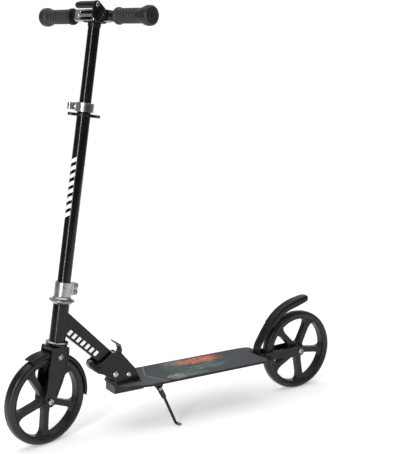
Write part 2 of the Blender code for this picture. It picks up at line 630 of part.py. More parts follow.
# ---------------------------------------------------------------- deck
def deck_section():
    """The extruded deck's section: top plate, short sides and a square channel under the middle."""
    half, wall = DECK_HALF, 0.0025
    top, under = DECK_TOP, DECK_TOP - DECK_THICK
    right = [(half - 0.0025, top), (half - 0.0007, top - 0.0008), (half, top - 0.0022),
             (half, DECK_BOTTOM), (half - wall, DECK_BOTTOM), (half - wall, under),
             (SPINE_HALF, under), (SPINE_HALF, SPINE_BOTTOM)]
    left = [(-y, z) for y, z in reversed(right)]
    return right + left


def build_deck(frame, materials):
    deck = prism("deck", deck_section(), DECK_FRONT, DECK_REAR, "YZ", frame,
                 materials["deck_paint"])
    far = 0.080
    trims = []
    for side in (-1, 1):
        nose = [(-0.1150, side * far), (-0.1150, side * DECK_HALF), (-0.1380, side * 0.0560),
                (-0.1630, side * 0.0487), (-0.1790, side * 0.0400), (DECK_FRONT - 0.001, side * 0.0310),
                (DECK_FRONT - 0.01, side * 0.0310), (DECK_FRONT - 0.01, side * far)]
        trims.append(prism(f"deck_nose_{side}", nose, 0.05, 0.15, "XY", frame))
        tail = [(0.2160, side * far), (0.2160, side * DECK_HALF), (0.2320, side * 0.0600),
                (DECK_REAR + 0.001, side * 0.0520), (DECK_REAR + 0.01, side * 0.0520),
                (DECK_REAR + 0.01, side * far)]
        trims.append(prism(f"deck_tail_{side}", tail, 0.05, 0.15, "XY", frame))
    channel = box("deck_channel", (-0.30, -SPINE_HALF + 0.0030, SPINE_BOTTOM + 0.0056),
                  (0.30, SPINE_HALF - 0.0030, DECK_TOP - DECK_THICK), frame)
    spine_end = box("deck_spine_end", (SPINE_REAR, -0.0300, 0.05),
                    (0.30, 0.0300, DECK_TOP - DECK_THICK), frame)
    fender_slot = box("deck_fender_slot", (SLOT_X, -0.0255, 0.05), (0.30, 0.0255, 0.15), frame)
    shallow = [(-0.1180, 0.0850), (-0.1040, 0.0886), (0.30, 0.0886), (0.30, 0.05), (-0.1180, 0.05)]
    relief = prism("deck_relief", shallow, -0.03, 0.03, "XZ", frame)
    cut(deck, *trims, channel, spine_end, fender_slot, relief)

    front = box("deck_nose_cap", (DECK_FRONT - 0.0016, -SPINE_HALF + 0.0002, SPINE_BOTTOM + 0.0002),
                (DECK_FRONT - GAP, SPINE_HALF - 0.0002, DECK_TOP - 0.0005), frame,
                materials["grey_plastic"])
    plug = box("nose_plug", (DECK_FRONT - 0.0010, -SPINE_HALF + 0.0033, SPINE_BOTTOM + 0.0059),
               (DECK_FRONT + 0.0080, SPINE_HALF - 0.0033, DECK_TOP - 0.0038), frame)
    join(front, plug)

    low, high = DECK_TOP + GAP, DECK_TOP + TAPE_THICK
    edge = DECK_HALF - 0.0020
    tape = [(-0.1130, -edge), (0.2060, -edge), (SLOT_X - 0.0040, -edge + 0.0022),
            (SLOT_X - 0.0010, -edge + 0.0060), (SLOT_X - 0.0010, edge - 0.0060),
            (SLOT_X - 0.0040, edge - 0.0022), (0.2060, edge), (-0.1130, edge)]
    prism("grip_tape", tape, low, high, "XY", frame, materials["grip_tape"])


def cheek_outline(side):
    """A cheek of the fold bracket; the right one is cut lower at the top."""
    top = [(-0.1715, 0.1838), (-0.1945, 0.1835)] if side < 0 else [(-0.1640, 0.1750), (-0.1900, 0.1750)]
    return ([(-0.1850, 0.1090), (-0.1215, 0.1090), (-0.1222, 0.1130), (-0.1344, 0.1396)] + top +
            [(-0.2150, 0.1690), (-0.2310, 0.1620), (-0.2350, 0.1530), (-0.2290, 0.1430),
             (-0.2130, 0.1370), (-0.1960, 0.1240), (-0.1850, 0.1180)])


BRACKET_BOLT = (-0.1520, 0.1277)
STOP_AT = (-0.2255, 0.1525)


def build_fold_bracket(frame, materials):
    """Pressed steel bracket on the deck: a base with an upright cheek on each side."""
    base_low = DECK_TOP + GAP
    bracket = box("fold_bracket", (-0.1840, -CHEEK_OUT - 0.0030, base_low),
                  (-0.1195, CHEEK_OUT + 0.0030, base_low + 0.0036), frame, materials["black_paint"])
    for side in (-1, 1):
        low, high = sorted((side * CHEEK_HALF, side * CHEEK_OUT))
        join(bracket, prism(f"cheek_{side}", cheek_outline(side), low, high, "XZ", frame))
    holes = [rod("bracket_bolt_hole", 0.0033, -0.05, 0.05, frame, None, 12,
                 along_y(BRACKET_BOLT[0], 0, BRACKET_BOLT[1]))]
    holes.append(rod("bracket_pivot_hole", 0.0053, -0.05, 0.05, frame, None, 14,
                     along_y(FOLD_X, 0, FOLD_Z)))
    holes.append(rod("bracket_stop_hole", 0.0033, -0.05, 0.05, frame, None, 12,
                     along_y(STOP_AT[0], 0, STOP_AT[1])))
    cut(bracket, *holes)

    reach = CHEEK_OUT + GAP
    for word, side in (("left", -1), ("right", 1)):
        rivet = [(0, side * 0.0186), (0.0050, side * 0.0186), (0.0050, side * (CHEEK_HALF - GAP)),
                 (0.0030, side * (CHEEK_HALF - GAP)), (0.0030, side * reach),
                 (0.0058, side * reach), (0.0058, side * (reach + 0.0012)),
                 (0.0034, side * (reach + 0.0032)), (0, side * (reach + 0.0036))]
        turned("bracket_bolt_" + word, rivet, frame, materials["silver"], 12,
               along_y(BRACKET_BOLT[0], 0, BRACKET_BOLT[1]))
    dome_pin("fold_pivot", 0.0050, 0.0066, -reach, reach, 0.0036, frame,
             materials["silver"], along_y(FOLD_X, 0, FOLD_Z))
    dome_pin("stop_bolt", 0.0030, 0.0055, -reach, reach, 0.0018, frame, materials["black_paint"],
             along_y(STOP_AT[0], 0, STOP_AT[1]))
    spool = [(0.0033, -0.0210), (0.0086, -0.0210), (0.0093, -0.0180), (0.0093, 0.0180),
             (0.0086, 0.0210), (0.0033, 0.0210)]
    turned("stop_buffer", spool, frame, materials["black_plastic"], ROUND,
           along_y(STOP_AT[0], 0, STOP_AT[1]))


# ---------------------------------------------------------------- rear fork, brake and stand
ARM_IN, ARM_OUT = 0.0172, 0.0210


def build_rear_fork(frame, materials):
    axle = (WHEELBASE / 2, WHEEL_R)
    under = DECK_TOP - DECK_THICK - GAP
    outline = [(0.1700, 0.0900), (0.1700, under), (SLOT_X + 0.0004, under),
               (SLOT_X + 0.0010, 0.1085), (0.2400, 0.1102), (0.2800, 0.1124), (0.3270, 0.1138)]
    outline += arc(axle, 0.0125, 80, -90, 8)
    outline += [(0.3276, 0.0890), (0.2800, 0.0898), (0.2200, 0.0888)]
    for word, side in (("left", -1), ("right", 1)):
        low, high = sorted((side * ARM_IN, side * ARM_OUT))
        arm = prism("rear_arm_" + word, outline, low, high, "XZ", frame, materials["black_paint"])
        cut(arm, rod(f"arm_hole_{word}", 0.0043, -0.05, 0.05, frame, None, 14,
                     along_y(axle[0], 0, axle[1])),
            rod(f"arm_pin_hole_{word}", 0.0028, -0.05, 0.05, frame, None, 12,
                along_y(BRAKE_X, 0, BRAKE_Z)))
    build_axle("rear_axle", frame, axle[0], axle[1], ARM_OUT + GAP, materials)
    dome_pin("brake_pin", 0.0025, 0.0045, -ARM_OUT - GAP, ARM_OUT + GAP, 0.0020, frame,
             materials["steel"], along_y(BRAKE_X, 0, BRAKE_Z))


def brake_outer_edge():
    """Top edge of the brake fender, from its foot to its tip, in the deck's frame."""
    return [(0.2207, 0.0966), (0.2207, 0.1130), (0.2232, 0.1285), (0.2362, 0.1510),
            (0.2525, 0.1775), (0.2665, 0.1965), (0.2880, 0.2137), (0.3100, 0.2252),
            (0.3320, 0.2327), (0.3540, 0.2373), (0.3725, 0.2390)]


def build_brake(frame, materials):
    """Fender brake: a thin foot under the deck's slot, and a hood that widens over the wheel."""
    def local(points):
        return [(x - BRAKE_X, z - BRAKE_Z) for x, z in points]

    outer = brake_outer_edge()
    tip = [(0.3762, 0.2366), (0.3770, 0.2310), (0.3728, 0.2262)]
    under = [(0.3620, 0.2230), (0.3440, 0.2172), (0.3260, 0.2105), (0.3149, 0.2080),
             (0.2923, 0.2003), (0.2676, 0.1845), (0.2500, 0.1680), (0.2433, 0.1600),
             (0.2390, 0.1515), (0.2265, 0.1290), (0.2242, 0.1130), (0.2242, 0.1045)]
    lug = arc((BRAKE_X, BRAKE_Z), 0.0061, 60, -170, 10)
    brake = prism("brake_fender", local(outer + tip + under + lug), -0.0140, 0.0140, "XZ", frame,
                  materials["black_plastic"])
    roof = [(x + 0.0023, z - 0.0030) for x, z in outer[4:]]
    inner = roof + [(0.3760, 0.2320), (0.3900, 0.2200), (0.3240, 0.1995), (0.2840, 0.1745),
                    (0.2530, 0.1500)]
    hollow = prism("brake_hollow", local(inner), -0.0112, 0.0112, "XZ", frame)
    cut(brake, hollow)
    wheel = (WHEELBASE / 2 - BRAKE_X, WHEEL_R - BRAKE_Z)
    pad_outer = arc(wheel, 0.1225, 124, 138, 4)
    pad_inner = arc(wheel, 0.1042, 138, 124, 4)
    join(brake, prism("brake_pad", pad_outer + pad_inner, -0.0114, 0.0114, "XZ", frame))
    cut(brake, rod("brake_bore", 0.0028, -0.03, 0.03, frame, None, 12, along_y()))


def build_stand(frame, deck_frame, materials):
    """Side stand: a tongue under the deck, and a forked rod that swings up to the rear."""
    high = DECK_TOP - DECK_THICK - GAP
    flange = high - 0.0028
    bracket = box("stand_bracket", (-0.1060, STAND_Y - 0.0040, flange),
                  (-0.0760, STAND_Y + 0.0140, high), deck_frame, materials["black_paint"])
    tongue = ([(-0.1050, flange + 0.001)] + arc((STAND_X, STAND_Z), 0.0062, 190, 350, 8) +
              [(-0.0790, flange + 0.001)])
    join(bracket, prism("stand_tongue", tongue, STAND_Y - 0.0025, STAND_Y + 0.0025, "XZ",
                        deck_frame))
    cut(bracket, rod("stand_bracket_bore", 0.0028, -0.1, 0.1, deck_frame, None, 12,
                     along_y(STAND_X, 0, STAND_Z)))
    dome_pin("stand_pin", 0.0025, 0.0042, -0.0066, 0.0066, 0.0018, deck_frame, materials["steel"],
             along_y(STAND_X, STAND_Y, STAND_Z))

    foot = Vector((-0.0507 - STAND_X, -0.0640 - STAND_Y, 0.0034 - STAND_Z))
    toe = Vector((-0.0430 - STAND_X, -0.0735 - STAND_Y, 0.0032 - STAND_Z))
    knee = Vector((0.0130, -0.0003, -0.0240))
    shin = (foot - knee).normalized()
    path = [knee * -0.13, knee * -0.05, knee * 0.5, knee, knee + shin * 0.002,
            foot - shin * 0.012, foot - shin * 0.003, foot + (toe - foot) * 0.35, toe]
    radii = [0.0040, 0.0058, 0.0062, 0.0055, 0.0033, 0.0033, 0.0034, 0.0034, 0.0028]
    stand = swept("side_stand", path, radii, frame, materials["black_paint"])
    cut(stand, rod("stand_slot", 0.0115, -0.0028, 0.0028, frame, None, ROUND, along_y()),
        rod("stand_bore", 0.0028, -0.03, 0.03, frame, None, 12, along_y()))


# ---------------------------------------------------------------- the whole scooter
def build_scooter():
    clear_scene()
    materials = {name: make_material(name) for name in PALETTE}
    frames = make_frames()
    front_turn = math.atan(math.tan(math.radians(HEAD_LEAN)) * math.cos(math.radians(STEER)))
    build_wheel("front", frames["front_wheel"], FRONT_SPOKE, front_turn, materials)
    build_wheel("rear", frames["rear_wheel"], REAR_SPOKE, 0.0, materials)
    build_fork(frames["steer"], materials)
    build_column(frames["steer"], materials)
    build_clip(frames["steer"], materials)
    build_height_clamp(frames["steer"], frames["clamp_lever"], materials)
    build_button(frames["button"], materials)
    build_mast(frames["mast"], materials)
    build_tee(frames["mast"], frames["lock"], materials)
    build_handle("left", -1, frames["left_handle"], materials)
    build_handle("right", 1, frames["right_handle"], materials)
    build_head(frames["head"], frames["fold"], materials)
    build_release(frames["release"], frames["fold"], materials)
    build_deck(frames["deck"], materials)
    build_fold_bracket(frames["deck"], materials)
    build_rear_fork(frames["deck"], materials)
    build_brake(frames["brake"], materials)
    build_stand(frames["stand"], frames["deck"], materials)


build_scooter()
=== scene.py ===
"""Looks of the folding kick scooter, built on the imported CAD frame.

Metres, +Z up.  The scooter points along -X and its left side is -Y.  The pieces are made in the
frames of the joints: the steering frame's Z runs up the column and its X points to the rear.
"""
import json
import math

import bpy
from mathutils import Matrix, Vector


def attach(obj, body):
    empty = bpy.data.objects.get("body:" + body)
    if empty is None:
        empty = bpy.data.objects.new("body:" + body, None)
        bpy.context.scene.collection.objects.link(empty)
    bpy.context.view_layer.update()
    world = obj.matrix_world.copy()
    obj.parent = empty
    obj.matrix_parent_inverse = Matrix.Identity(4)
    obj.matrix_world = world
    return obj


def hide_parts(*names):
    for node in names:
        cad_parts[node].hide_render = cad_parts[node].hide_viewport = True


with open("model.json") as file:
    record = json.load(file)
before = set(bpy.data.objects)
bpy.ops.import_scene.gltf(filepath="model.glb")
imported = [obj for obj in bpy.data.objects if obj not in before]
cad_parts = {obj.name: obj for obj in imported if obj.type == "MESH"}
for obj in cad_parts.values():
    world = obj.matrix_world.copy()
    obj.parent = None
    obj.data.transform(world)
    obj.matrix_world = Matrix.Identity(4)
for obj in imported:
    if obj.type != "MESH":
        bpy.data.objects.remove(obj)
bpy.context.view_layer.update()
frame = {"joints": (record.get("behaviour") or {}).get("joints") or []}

# ---------------------------------------------------------------- driving dimensions
WHEEL_R, TYRE_HALF = 0.100, 0.014
RIM_SEAT_R, RIM_INNER_R, RIM_HALF = 0.0840, 0.0806, 0.0115
HUB_R, HUB_HALF = 0.0150, 0.0168
FRONT_SPOKE, REAR_SPOKE = 175.7, 26.3        # first spoke, degrees from straight up to the rear
WHEELBASE = 0.6914
FORK_OFFSET = 0.0135                         # front axle ahead of the steering axis
HALF_IN, HALF_OUT = 0.0172, 0.0210           # faces of the fork legs and of the rear arms
AXLE_R, AXLE_BORE = 0.0040, 0.0043
COLUMN_R, COLUMN_BORE, COLUMN_LOW, COLUMN_TOP = 0.0146, 0.0131, 0.2275, 0.6410
MAST_R, MAST_BORE, MAST_LOW, MAST_TOP = 0.0128, 0.0112, 0.4700, 0.8085
HEAD_TUBE_R, HEAD_TUBE_LOW, HEAD_TUBE_TOP = 0.0178, 0.1300, 0.2107
BAR_AT, HANDLE_PIN, BAR_HALF = 0.8246, 0.0380, 0.1782
DECK_TOP, DECK_HALF, DECK_BOTTOM = 0.1070, 0.0620, 0.1028
SPINE_HALF = 0.0215
NECK_HALF = 0.0169
CHEEK_IN, CHEEK_OUT = 0.0215, 0.0250
BRACKET_BOLT, STOP_AT = (-0.1520, 0.1277), (-0.2255, 0.1525)
LOCK_AT = (-0.0167, 0.8453)
TAPE_TOP = 0.1080
GAP = 0.0003                                 # clearance between faces that touch
SIDES = ((-1, "left"), (1, "right"))


# ---------------------------------------------------------------- frames of the joints
JOINTS = {joint["name"]: joint for joint in frame["joints"]}


def spot(name):
    return Vector(JOINTS[name]["pos_m"])


def basis(origin, x_axis, z_axis):
    made = Matrix.Identity(4)
    columns = (x_axis, z_axis.cross(x_axis), z_axis, origin)
    for index, column in enumerate(columns):
        made.col[index][:3] = column
    return made


def shifted(matrix, origin):
    made = matrix.copy()
    made.translation = origin
    return made


STEER_Z = Vector(JOINTS["steer"]["axis"]).normalized()
STEER_X = -Vector(JOINTS["button_push"]["axis"]).normalized()
STEER = basis(spot("steer"), STEER_X, STEER_Z)
HEAD = basis(spot("steer"), Vector((0, 1, 0)).cross(STEER_Z), STEER_Z)
FRONT_WHEEL = shifted(STEER, spot("front_wheel_spin"))
REAR_WHEEL = Matrix.Translation(spot("rear_wheel_spin"))
DECK = Matrix.Translation(spot("rear_wheel_spin") - Vector((WHEELBASE / 2, 0, WHEEL_R)))
FOLD = Matrix.Translation(spot("fold"))
RELEASE = Matrix.Translation(spot("release_press"))
STAND = Matrix.Translation(spot("stand_swing"))
CLAMP = shifted(STEER, spot("clamp_open"))
BUTTON = shifted(STEER, spot("button_push"))
LEFT_BAR = shifted(STEER, spot("left_bar_fold"))
RIGHT_BAR = shifted(STEER, spot("right_bar_fold")) @ Matrix.Rotation(math.radians(-0.4), 4, "X")
LOCK = shifted(STEER, spot("lock_turn"))

ALONG_Y = Matrix.Rotation(math.radians(-90), 4, "X")      # turn Z of a lathed shape to +Y, -Y, +X
AGAINST_Y = Matrix.Rotation(math.radians(90), 4, "X")
ALONG_X = Matrix.Rotation(math.radians(90), 4, "Y")
BACKWARDS = Matrix.Rotation(math.pi, 4, "Z")
UPSIDE_DOWN = Matrix.Rotation(math.pi, 4, "X")
PLANES = {                                   # where plate() puts an outline's two coordinates
    "XY": Matrix.Identity(4),
    "XZ": Matrix(((1, 0, 0, 0), (0, 0, 1, 0), (0, 1, 0, 0), (0, 0, 0, 1))),
    "YZ": Matrix(((0, 0, 1, 0), (1, 0, 0, 0), (0, 1, 0, 0), (0, 0, 0, 1))),
}


def move(x=0.0, y=0.0, z=0.0):
    return Matrix.Translation((x, y, z))


# ---------------------------------------------------------------- outlines
def arc(centre, radius, first, last, steps):
    """Points on a circle between two angles in degrees, both ends included."""
    points = []
    for step in range(steps + 1):
        angle = math.radians(first + (last - first) * step / steps)
        points.append((centre[0] + radius * math.cos(angle), centre[1] + radius * math.sin(angle)))
    return points


def corner(before, at, after, radius, steps):
    """Points of a small round corner that replaces the point at."""
    to_before, to_after = before - at, after - at
    room = min(to_before.length, to_after.length) * 0.45
    if room < 1e-6:
        return [at]
    turn = math.pi - to_before.angle(to_after, math.pi)
    if turn < math.radians(4):
        return [at]
    cut = min(radius * math.tan(turn / 2), room)
    start, end = at + to_before.normalized() * cut, at + to_after.normalized() * cut
    points = []
    for step in range(steps + 1):
        share = step / steps
        points.append(start * (1 - share) ** 2 + at * 2 * share * (1 - share) + end * share ** 2)
    return points


def rounded(outline, radius, closed=True, steps=5):
    """The outline with round corners; the ends of an open outline stay as they are."""
    points = [Vector(point) for point in outline]
    made = []
    for index, at in enumerate(points):
        if not closed and index in (0, len(points) - 1):
            made.append(at)
            continue
        made += corner(points[index - 1], at, points[(index + 1) % len(points)], radius, steps)
    return [(point.x, point.y) for point in made]


def inset(outline, depth):
    """The outline moved inwards along its corners' bisectors."""
    points = [Vector(point) for point in outline]
    area = sum(a.x * b.y - b.x * a.y for a, b in zip(points, points[1:] + points[:1]))
    side = 1 if area > 0 else -1
    made = []
    for index, at in enumerate(points):
        before = (at - points[index - 1]).normalized()
        after = (points[(index + 1) % len(points)] - at).normalized()
        normal = Vector((-before.y - after.y, before.x + after.x)) * side
        reach = depth / max(0.5, normal.length / 2)
        made.append(tuple(at + normal.normalized() * reach))
    return made


def circle(centre, radius, steps=40):
    return arc(centre, radius, 0, 360, steps)[:-1]


# ---------------------------------------------------------------- meshes
def linked(name, data):
    made = bpy.data.objects.new(name, data)
    bpy.context.scene.collection.objects.link(made)
    return made


def placed(mesh, matrix):
    mesh.transform(matrix)
    if matrix.determinant() < 0:
        mesh.flip_normals()
    return mesh


def from_grid(rings, closed_ring, closed_path, matrix):
    """A mesh over rings of points; open paths get end caps."""
    size = len(rings[0])
    verts = [point for ring in rings for point in ring]
    faces = []
    pairs = len(rings) if closed_path else len(rings) - 1
    for index in range(pairs):
        first, second = index * size, ((index + 1) % len(rings)) * size
        for step in range(size if closed_ring else size - 1):
            following = (step + 1) % size
            faces.append((first + step, first + following, second + following, second + step))
    if not closed_path:
        faces.append(tuple(reversed(range(size))))
        faces.append(tuple(range((len(rings) - 1) * size, len(rings) * size)))
    mesh = bpy.data.meshes.new("grid")
    mesh.from_pydata(verts, [], faces)
    return placed(mesh, matrix)


def lathe(outline, matrix, round_off=0.0004, steps=96):
    """Turn a (radius, height) outline about Z; one that starts and ends on the axis is solid."""
    solid = outline[0][0] < 1e-6 and outline[-1][0] < 1e-6
    profile = rounded(outline, round_off, not solid, 4)
    rings = []
    for step in range(steps):
        angle = 2 * math.pi * step / steps
        rings.append([(radius * math.cos(angle), radius * math.sin(angle), height)
                      for radius, height in profile])
    return from_grid(rings, not solid, True, matrix)


def tube(inner, outer, low, high, matrix, round_off=0.0004, steps=96):
    """A ring of rectangular section about Z; with an inner radius of 0 it is a solid rod."""
    outline = [(inner, low), (outer, low), (outer, high), (inner, high)]
    return lathe(outline, matrix, round_off, steps)


def plate(outline, low, high, plane, matrix, edge=0.0006, turn=0.0, holes=()):
    """Extrude an outline, with holes, between two levels; its edges and corners are rounded."""
    curve = bpy.data.curves.new("plate", "CURVE")
    curve.dimensions = "2D"
    curve.fill_mode = "BOTH"
    curve.extrude = (high - low) / 2 - edge
    curve.bevel_depth = edge
    curve.bevel_resolution = 2
    curve.offset = -edge
    for loop in [rounded(outline, turn) if turn else outline, *holes]:
        spline = curve.splines.new("POLY")
        spline.points.add(len(loop) - 1)
        for point, (a, b) in zip(spline.points, loop):
            point.co = (a, b, 0.0, 1.0)
        spline.use_cyclic_u = True
    carrier = linked("plate", curve)
    evaluated = carrier.evaluated_get(bpy.context.evaluated_depsgraph_get())
    mesh = bpy.data.meshes.new_from_object(evaluated)
    bpy.data.objects.remove(carrier)
    mesh.materials.clear()
    return placed(mesh, matrix @ PLANES[plane] @ move(z=(low + high) / 2))


def block(lows, highs, matrix, edge=0.0006):
    outline = [(lows[0], lows[1]), (highs[0], lows[1]), (highs[0], highs[1]), (lows[0], highs[1])]
    return plate(outline, lows[2], highs[2], "XY", matrix, edge, edge)


def sweep(path, radii, matrix, steps=28):
    """Sweep a round section of changing radius along a path."""
    points = [Vector(point) for point in path]
    rings = []
    for index, point in enumerate(points):
        along = points[min(index + 1, len(points) - 1)] - points[max(index - 1, 0)]
        side = along.cross(Vector((1, 0, 0))).normalized()
        other = along.cross(side).normalized()
        ring = []
        for step in range(steps):
            angle = 2 * math.pi * step / steps
            ring.append(point + (side * math.cos(angle) + other * math.sin(angle)) * radii[index])
        rings.append(ring)
    return from_grid(rings, True, False, matrix)


def smooth_path(points, steps=6):
    """A Catmull-Rom path through points of any size."""
    path = []
    ends = [points[0]] + list(points) + [points[-1]]
    for index in range(1, len(ends) - 2):
        p0, p1, p2, p3 = (Vector(ends[index + shift]) for shift in (-1, 0, 1, 2))
        for step in range(steps):
            t = step / steps
            path.append(0.5 * (2 * p1 + (p2 - p0) * t + (2 * p0 - 5 * p1 + 4 * p2 - p3) * t * t
                               + (3 * p1 - p0 - 3 * p2 + p3) * t ** 3))
    path.append(Vector(points[-1]))
    return path


def without(mesh, cutter):
    """The mesh with the cutter's volume taken out."""
    target, tool = linked("target", mesh), linked("tool", cutter)
    modifier = target.modifiers.new("cut", "BOOLEAN")
    modifier.operation = "DIFFERENCE"
    modifier.solver = "EXACT"
    modifier.object = tool
    evaluated = target.evaluated_get(bpy.context.evaluated_depsgraph_get())
    made = bpy.data.meshes.new_from_object(evaluated)
    for item in (target, tool):
        bpy.data.objects.remove(item)
    return made


def bolt_head(radius, thick, matrix, socket=0.45):
    """A domed head with a hexagonal socket, standing on Z = 0 and pointing along +Z."""
    deep = thick * 0.25
    hexagon = radius * socket
    profile = rounded([(0, 0), (radius, 0), (radius, thick * 0.45), (radius * 0.75, thick * 0.9),
                       (hexagon * 1.15, thick), (hexagon, deep), (0, deep)], thick * 0.12, False, 4)
    steps = 48
    inner = len(profile) - 7
    rings = []
    for step in range(steps):
        angle = 2 * math.pi * step / steps
        sector = (angle % (math.pi / 3)) - math.pi / 6
        flat = 0.93 / math.cos(sector)
        rings.append([(r * math.cos(angle) * (flat if n > inner else 1.0),
                       r * math.sin(angle) * (flat if n > inner else 1.0), h)
                      for n, (r, h) in enumerate(profile)])
    return from_grid(rings, False, True, matrix)


# ---------------------------------------------------------------- materials
def add_node(tree, kind, sockets, **settings):
    made = tree.nodes.new(kind)
    for key, value in settings.items():
        setattr(made, key, value)
    for key, value in sockets.items():
        if isinstance(value, bpy.types.NodeSocket):
            tree.links.new(value, made.inputs[key])
        else:
            made.inputs[key].default_value = value
    return made


def noise(tree, place, scale, detail=3.0, warp=0.0):
    sockets = {"Vector": place, "Scale": scale, "Detail": detail, "Distortion": warp}
    return add_node(tree, "ShaderNodeTexNoise", sockets).outputs["Fac"]


def remap(tree, value, low, high, to_low, to_high):
    sockets = {"Value": value, "From Min": low, "From Max": high, "To Min": to_low,
               "To Max": to_high}
    return add_node(tree, "ShaderNodeMapRange", sockets).outputs["Result"]


def math_node(tree, operation, first, second=0.0):
    return add_node(tree, "ShaderNodeMath", {0: first, 1: second}, operation=operation).outputs[0]


def blend(tree, share, first, second):
    made = add_node(tree, "ShaderNodeMix", {0: share, 6: first, 7: second}, data_type="RGBA")
    return made.outputs[2]


def shader_of(name):
    made = bpy.data.materials.new("look_" + name)
    made.use_nodes = True
    return made, made.node_tree, made.node_tree.nodes["Principled BSDF"]


def surface(name, dark, light, rough, grain=1200.0, bump=0.10, wear=0.0, stretch=(1, 1, 1), **fixed):
    """Shared surface: slow colour drift, uneven roughness, fine grain and brighter worn edges."""
    made, tree, shader = shader_of(name)
    place = add_node(tree, "ShaderNodeTexCoord", {}).outputs["Object"]
    drawn = add_node(tree, "ShaderNodeMapping", {"Vector": place, "Scale": stretch}).outputs[0]
    slow = noise(tree, place, 28.0, 5.0)
    fine = noise(tree, drawn, grain, 4.0)
    colour = blend(tree, remap(tree, slow, 0.35, 0.65, 0.0, 1.0), (*dark, 1), (*light, 1))
    if wear:
        point = add_node(tree, "ShaderNodeNewGeometry", {}).outputs["Pointiness"]
        edge = remap(tree, point, 0.52, 0.62, 0.0, wear)
        patchy = remap(tree, noise(tree, place, 300.0), 0.4, 0.6, 0, 1)
        broken = math_node(tree, "MULTIPLY", edge, patchy)
        colour = blend(tree, broken, colour, (0.20, 0.20, 0.205, 1))
    mixed = math_node(tree, "ADD", math_node(tree, "MULTIPLY", slow, 0.6),
                      math_node(tree, "MULTIPLY", fine, 0.4))
    roughness = remap(tree, mixed, 0.35, 0.65, rough[0], rough[1])
    relief = add_node(tree, "ShaderNodeBump", {"Strength": bump, "Distance": 0.0004, "Height": fine})
    tree.links.new(colour, shader.inputs["Base Color"])
    tree.links.new(roughness, shader.inputs["Roughness"])
    tree.links.new(relief.outputs["Normal"], shader.inputs["Normal"])
    for key, value in fixed.items():
        shader.inputs[key.replace("_", " ")].default_value = value
    return made


def ellipse(tree, axes, centre, size, soft=0.35):
    """A mask that is 1 inside an ellipse drawn on warped deck coordinates."""
    terms = []
    for axis, middle, reach in zip(axes, centre, size):
        offset = math_node(tree, "DIVIDE", math_node(tree, "SUBTRACT", axis, middle), reach)
        terms.append(math_node(tree, "MULTIPLY", offset, offset))
    return remap(tree, math_node(tree, "ADD", *terms), 1.0 - soft, 1.0 + soft, 1.0, 0.0)


# patches printed on the deck: centre, half size, colour, fineness of the streaks, gaps, strength
PRINT = [
    ((0.008, 0.044), (0.034, 0.013), (0.22, 0.34, 0.25), 1.8, 0.44, 0.80),
    ((-0.004, 0.014), (0.036, 0.020), (0.12, 0.28, 0.20), 2.6, 0.50, 0.80),
    ((0.006, -0.014), (0.044, 0.018), (0.06, 0.20, 0.24), 3.0, 0.50, 0.80),
    ((0.066, -0.014), (0.058, 0.017), (0.16, 0.32, 0.22), 2.6, 0.48, 0.80),
    ((0.104, 0.000), (0.036, 0.014), (0.06, 0.22, 0.24), 2.6, 0.49, 0.75),
    ((-0.034, -0.041), (0.024, 0.014), (0.46, 0.47, 0.38), 3.0, 0.46, 0.85),
    ((0.006, -0.043), (0.038, 0.013), (0.30, 0.34, 0.27), 3.2, 0.47, 0.80),
    ((0.034, -0.047), (0.012, 0.008), (0.20, 0.14, 0.34), 1.4, 0.46, 0.60),
    ((0.070, 0.034), (0.064, 0.025), (0.62, 0.15, 0.08), 1.2, 0.43, 1.00),
    ((0.066, 0.031), (0.054, 0.019), (0.80, 0.36, 0.24), 2.6, 0.47, 0.70),
]


CHEVRON_TIP, CHEVRON_SLOPE = -0.0966, 0.446      # a pale V-shaped line near the deck's front


def chevron(tree, place):
    """Distance along X behind the pale line."""
    flat = add_node(tree, "ShaderNodeSeparateXYZ", {0: place})
    wing = math_node(tree, "ABSOLUTE", flat.outputs["Y"])
    wing = math_node(tree, "MULTIPLY", wing, CHEVRON_SLOPE)
    edge = math_node(tree, "ADD", wing, CHEVRON_TIP)
    return math_node(tree, "SUBTRACT", flat.outputs["X"], edge)


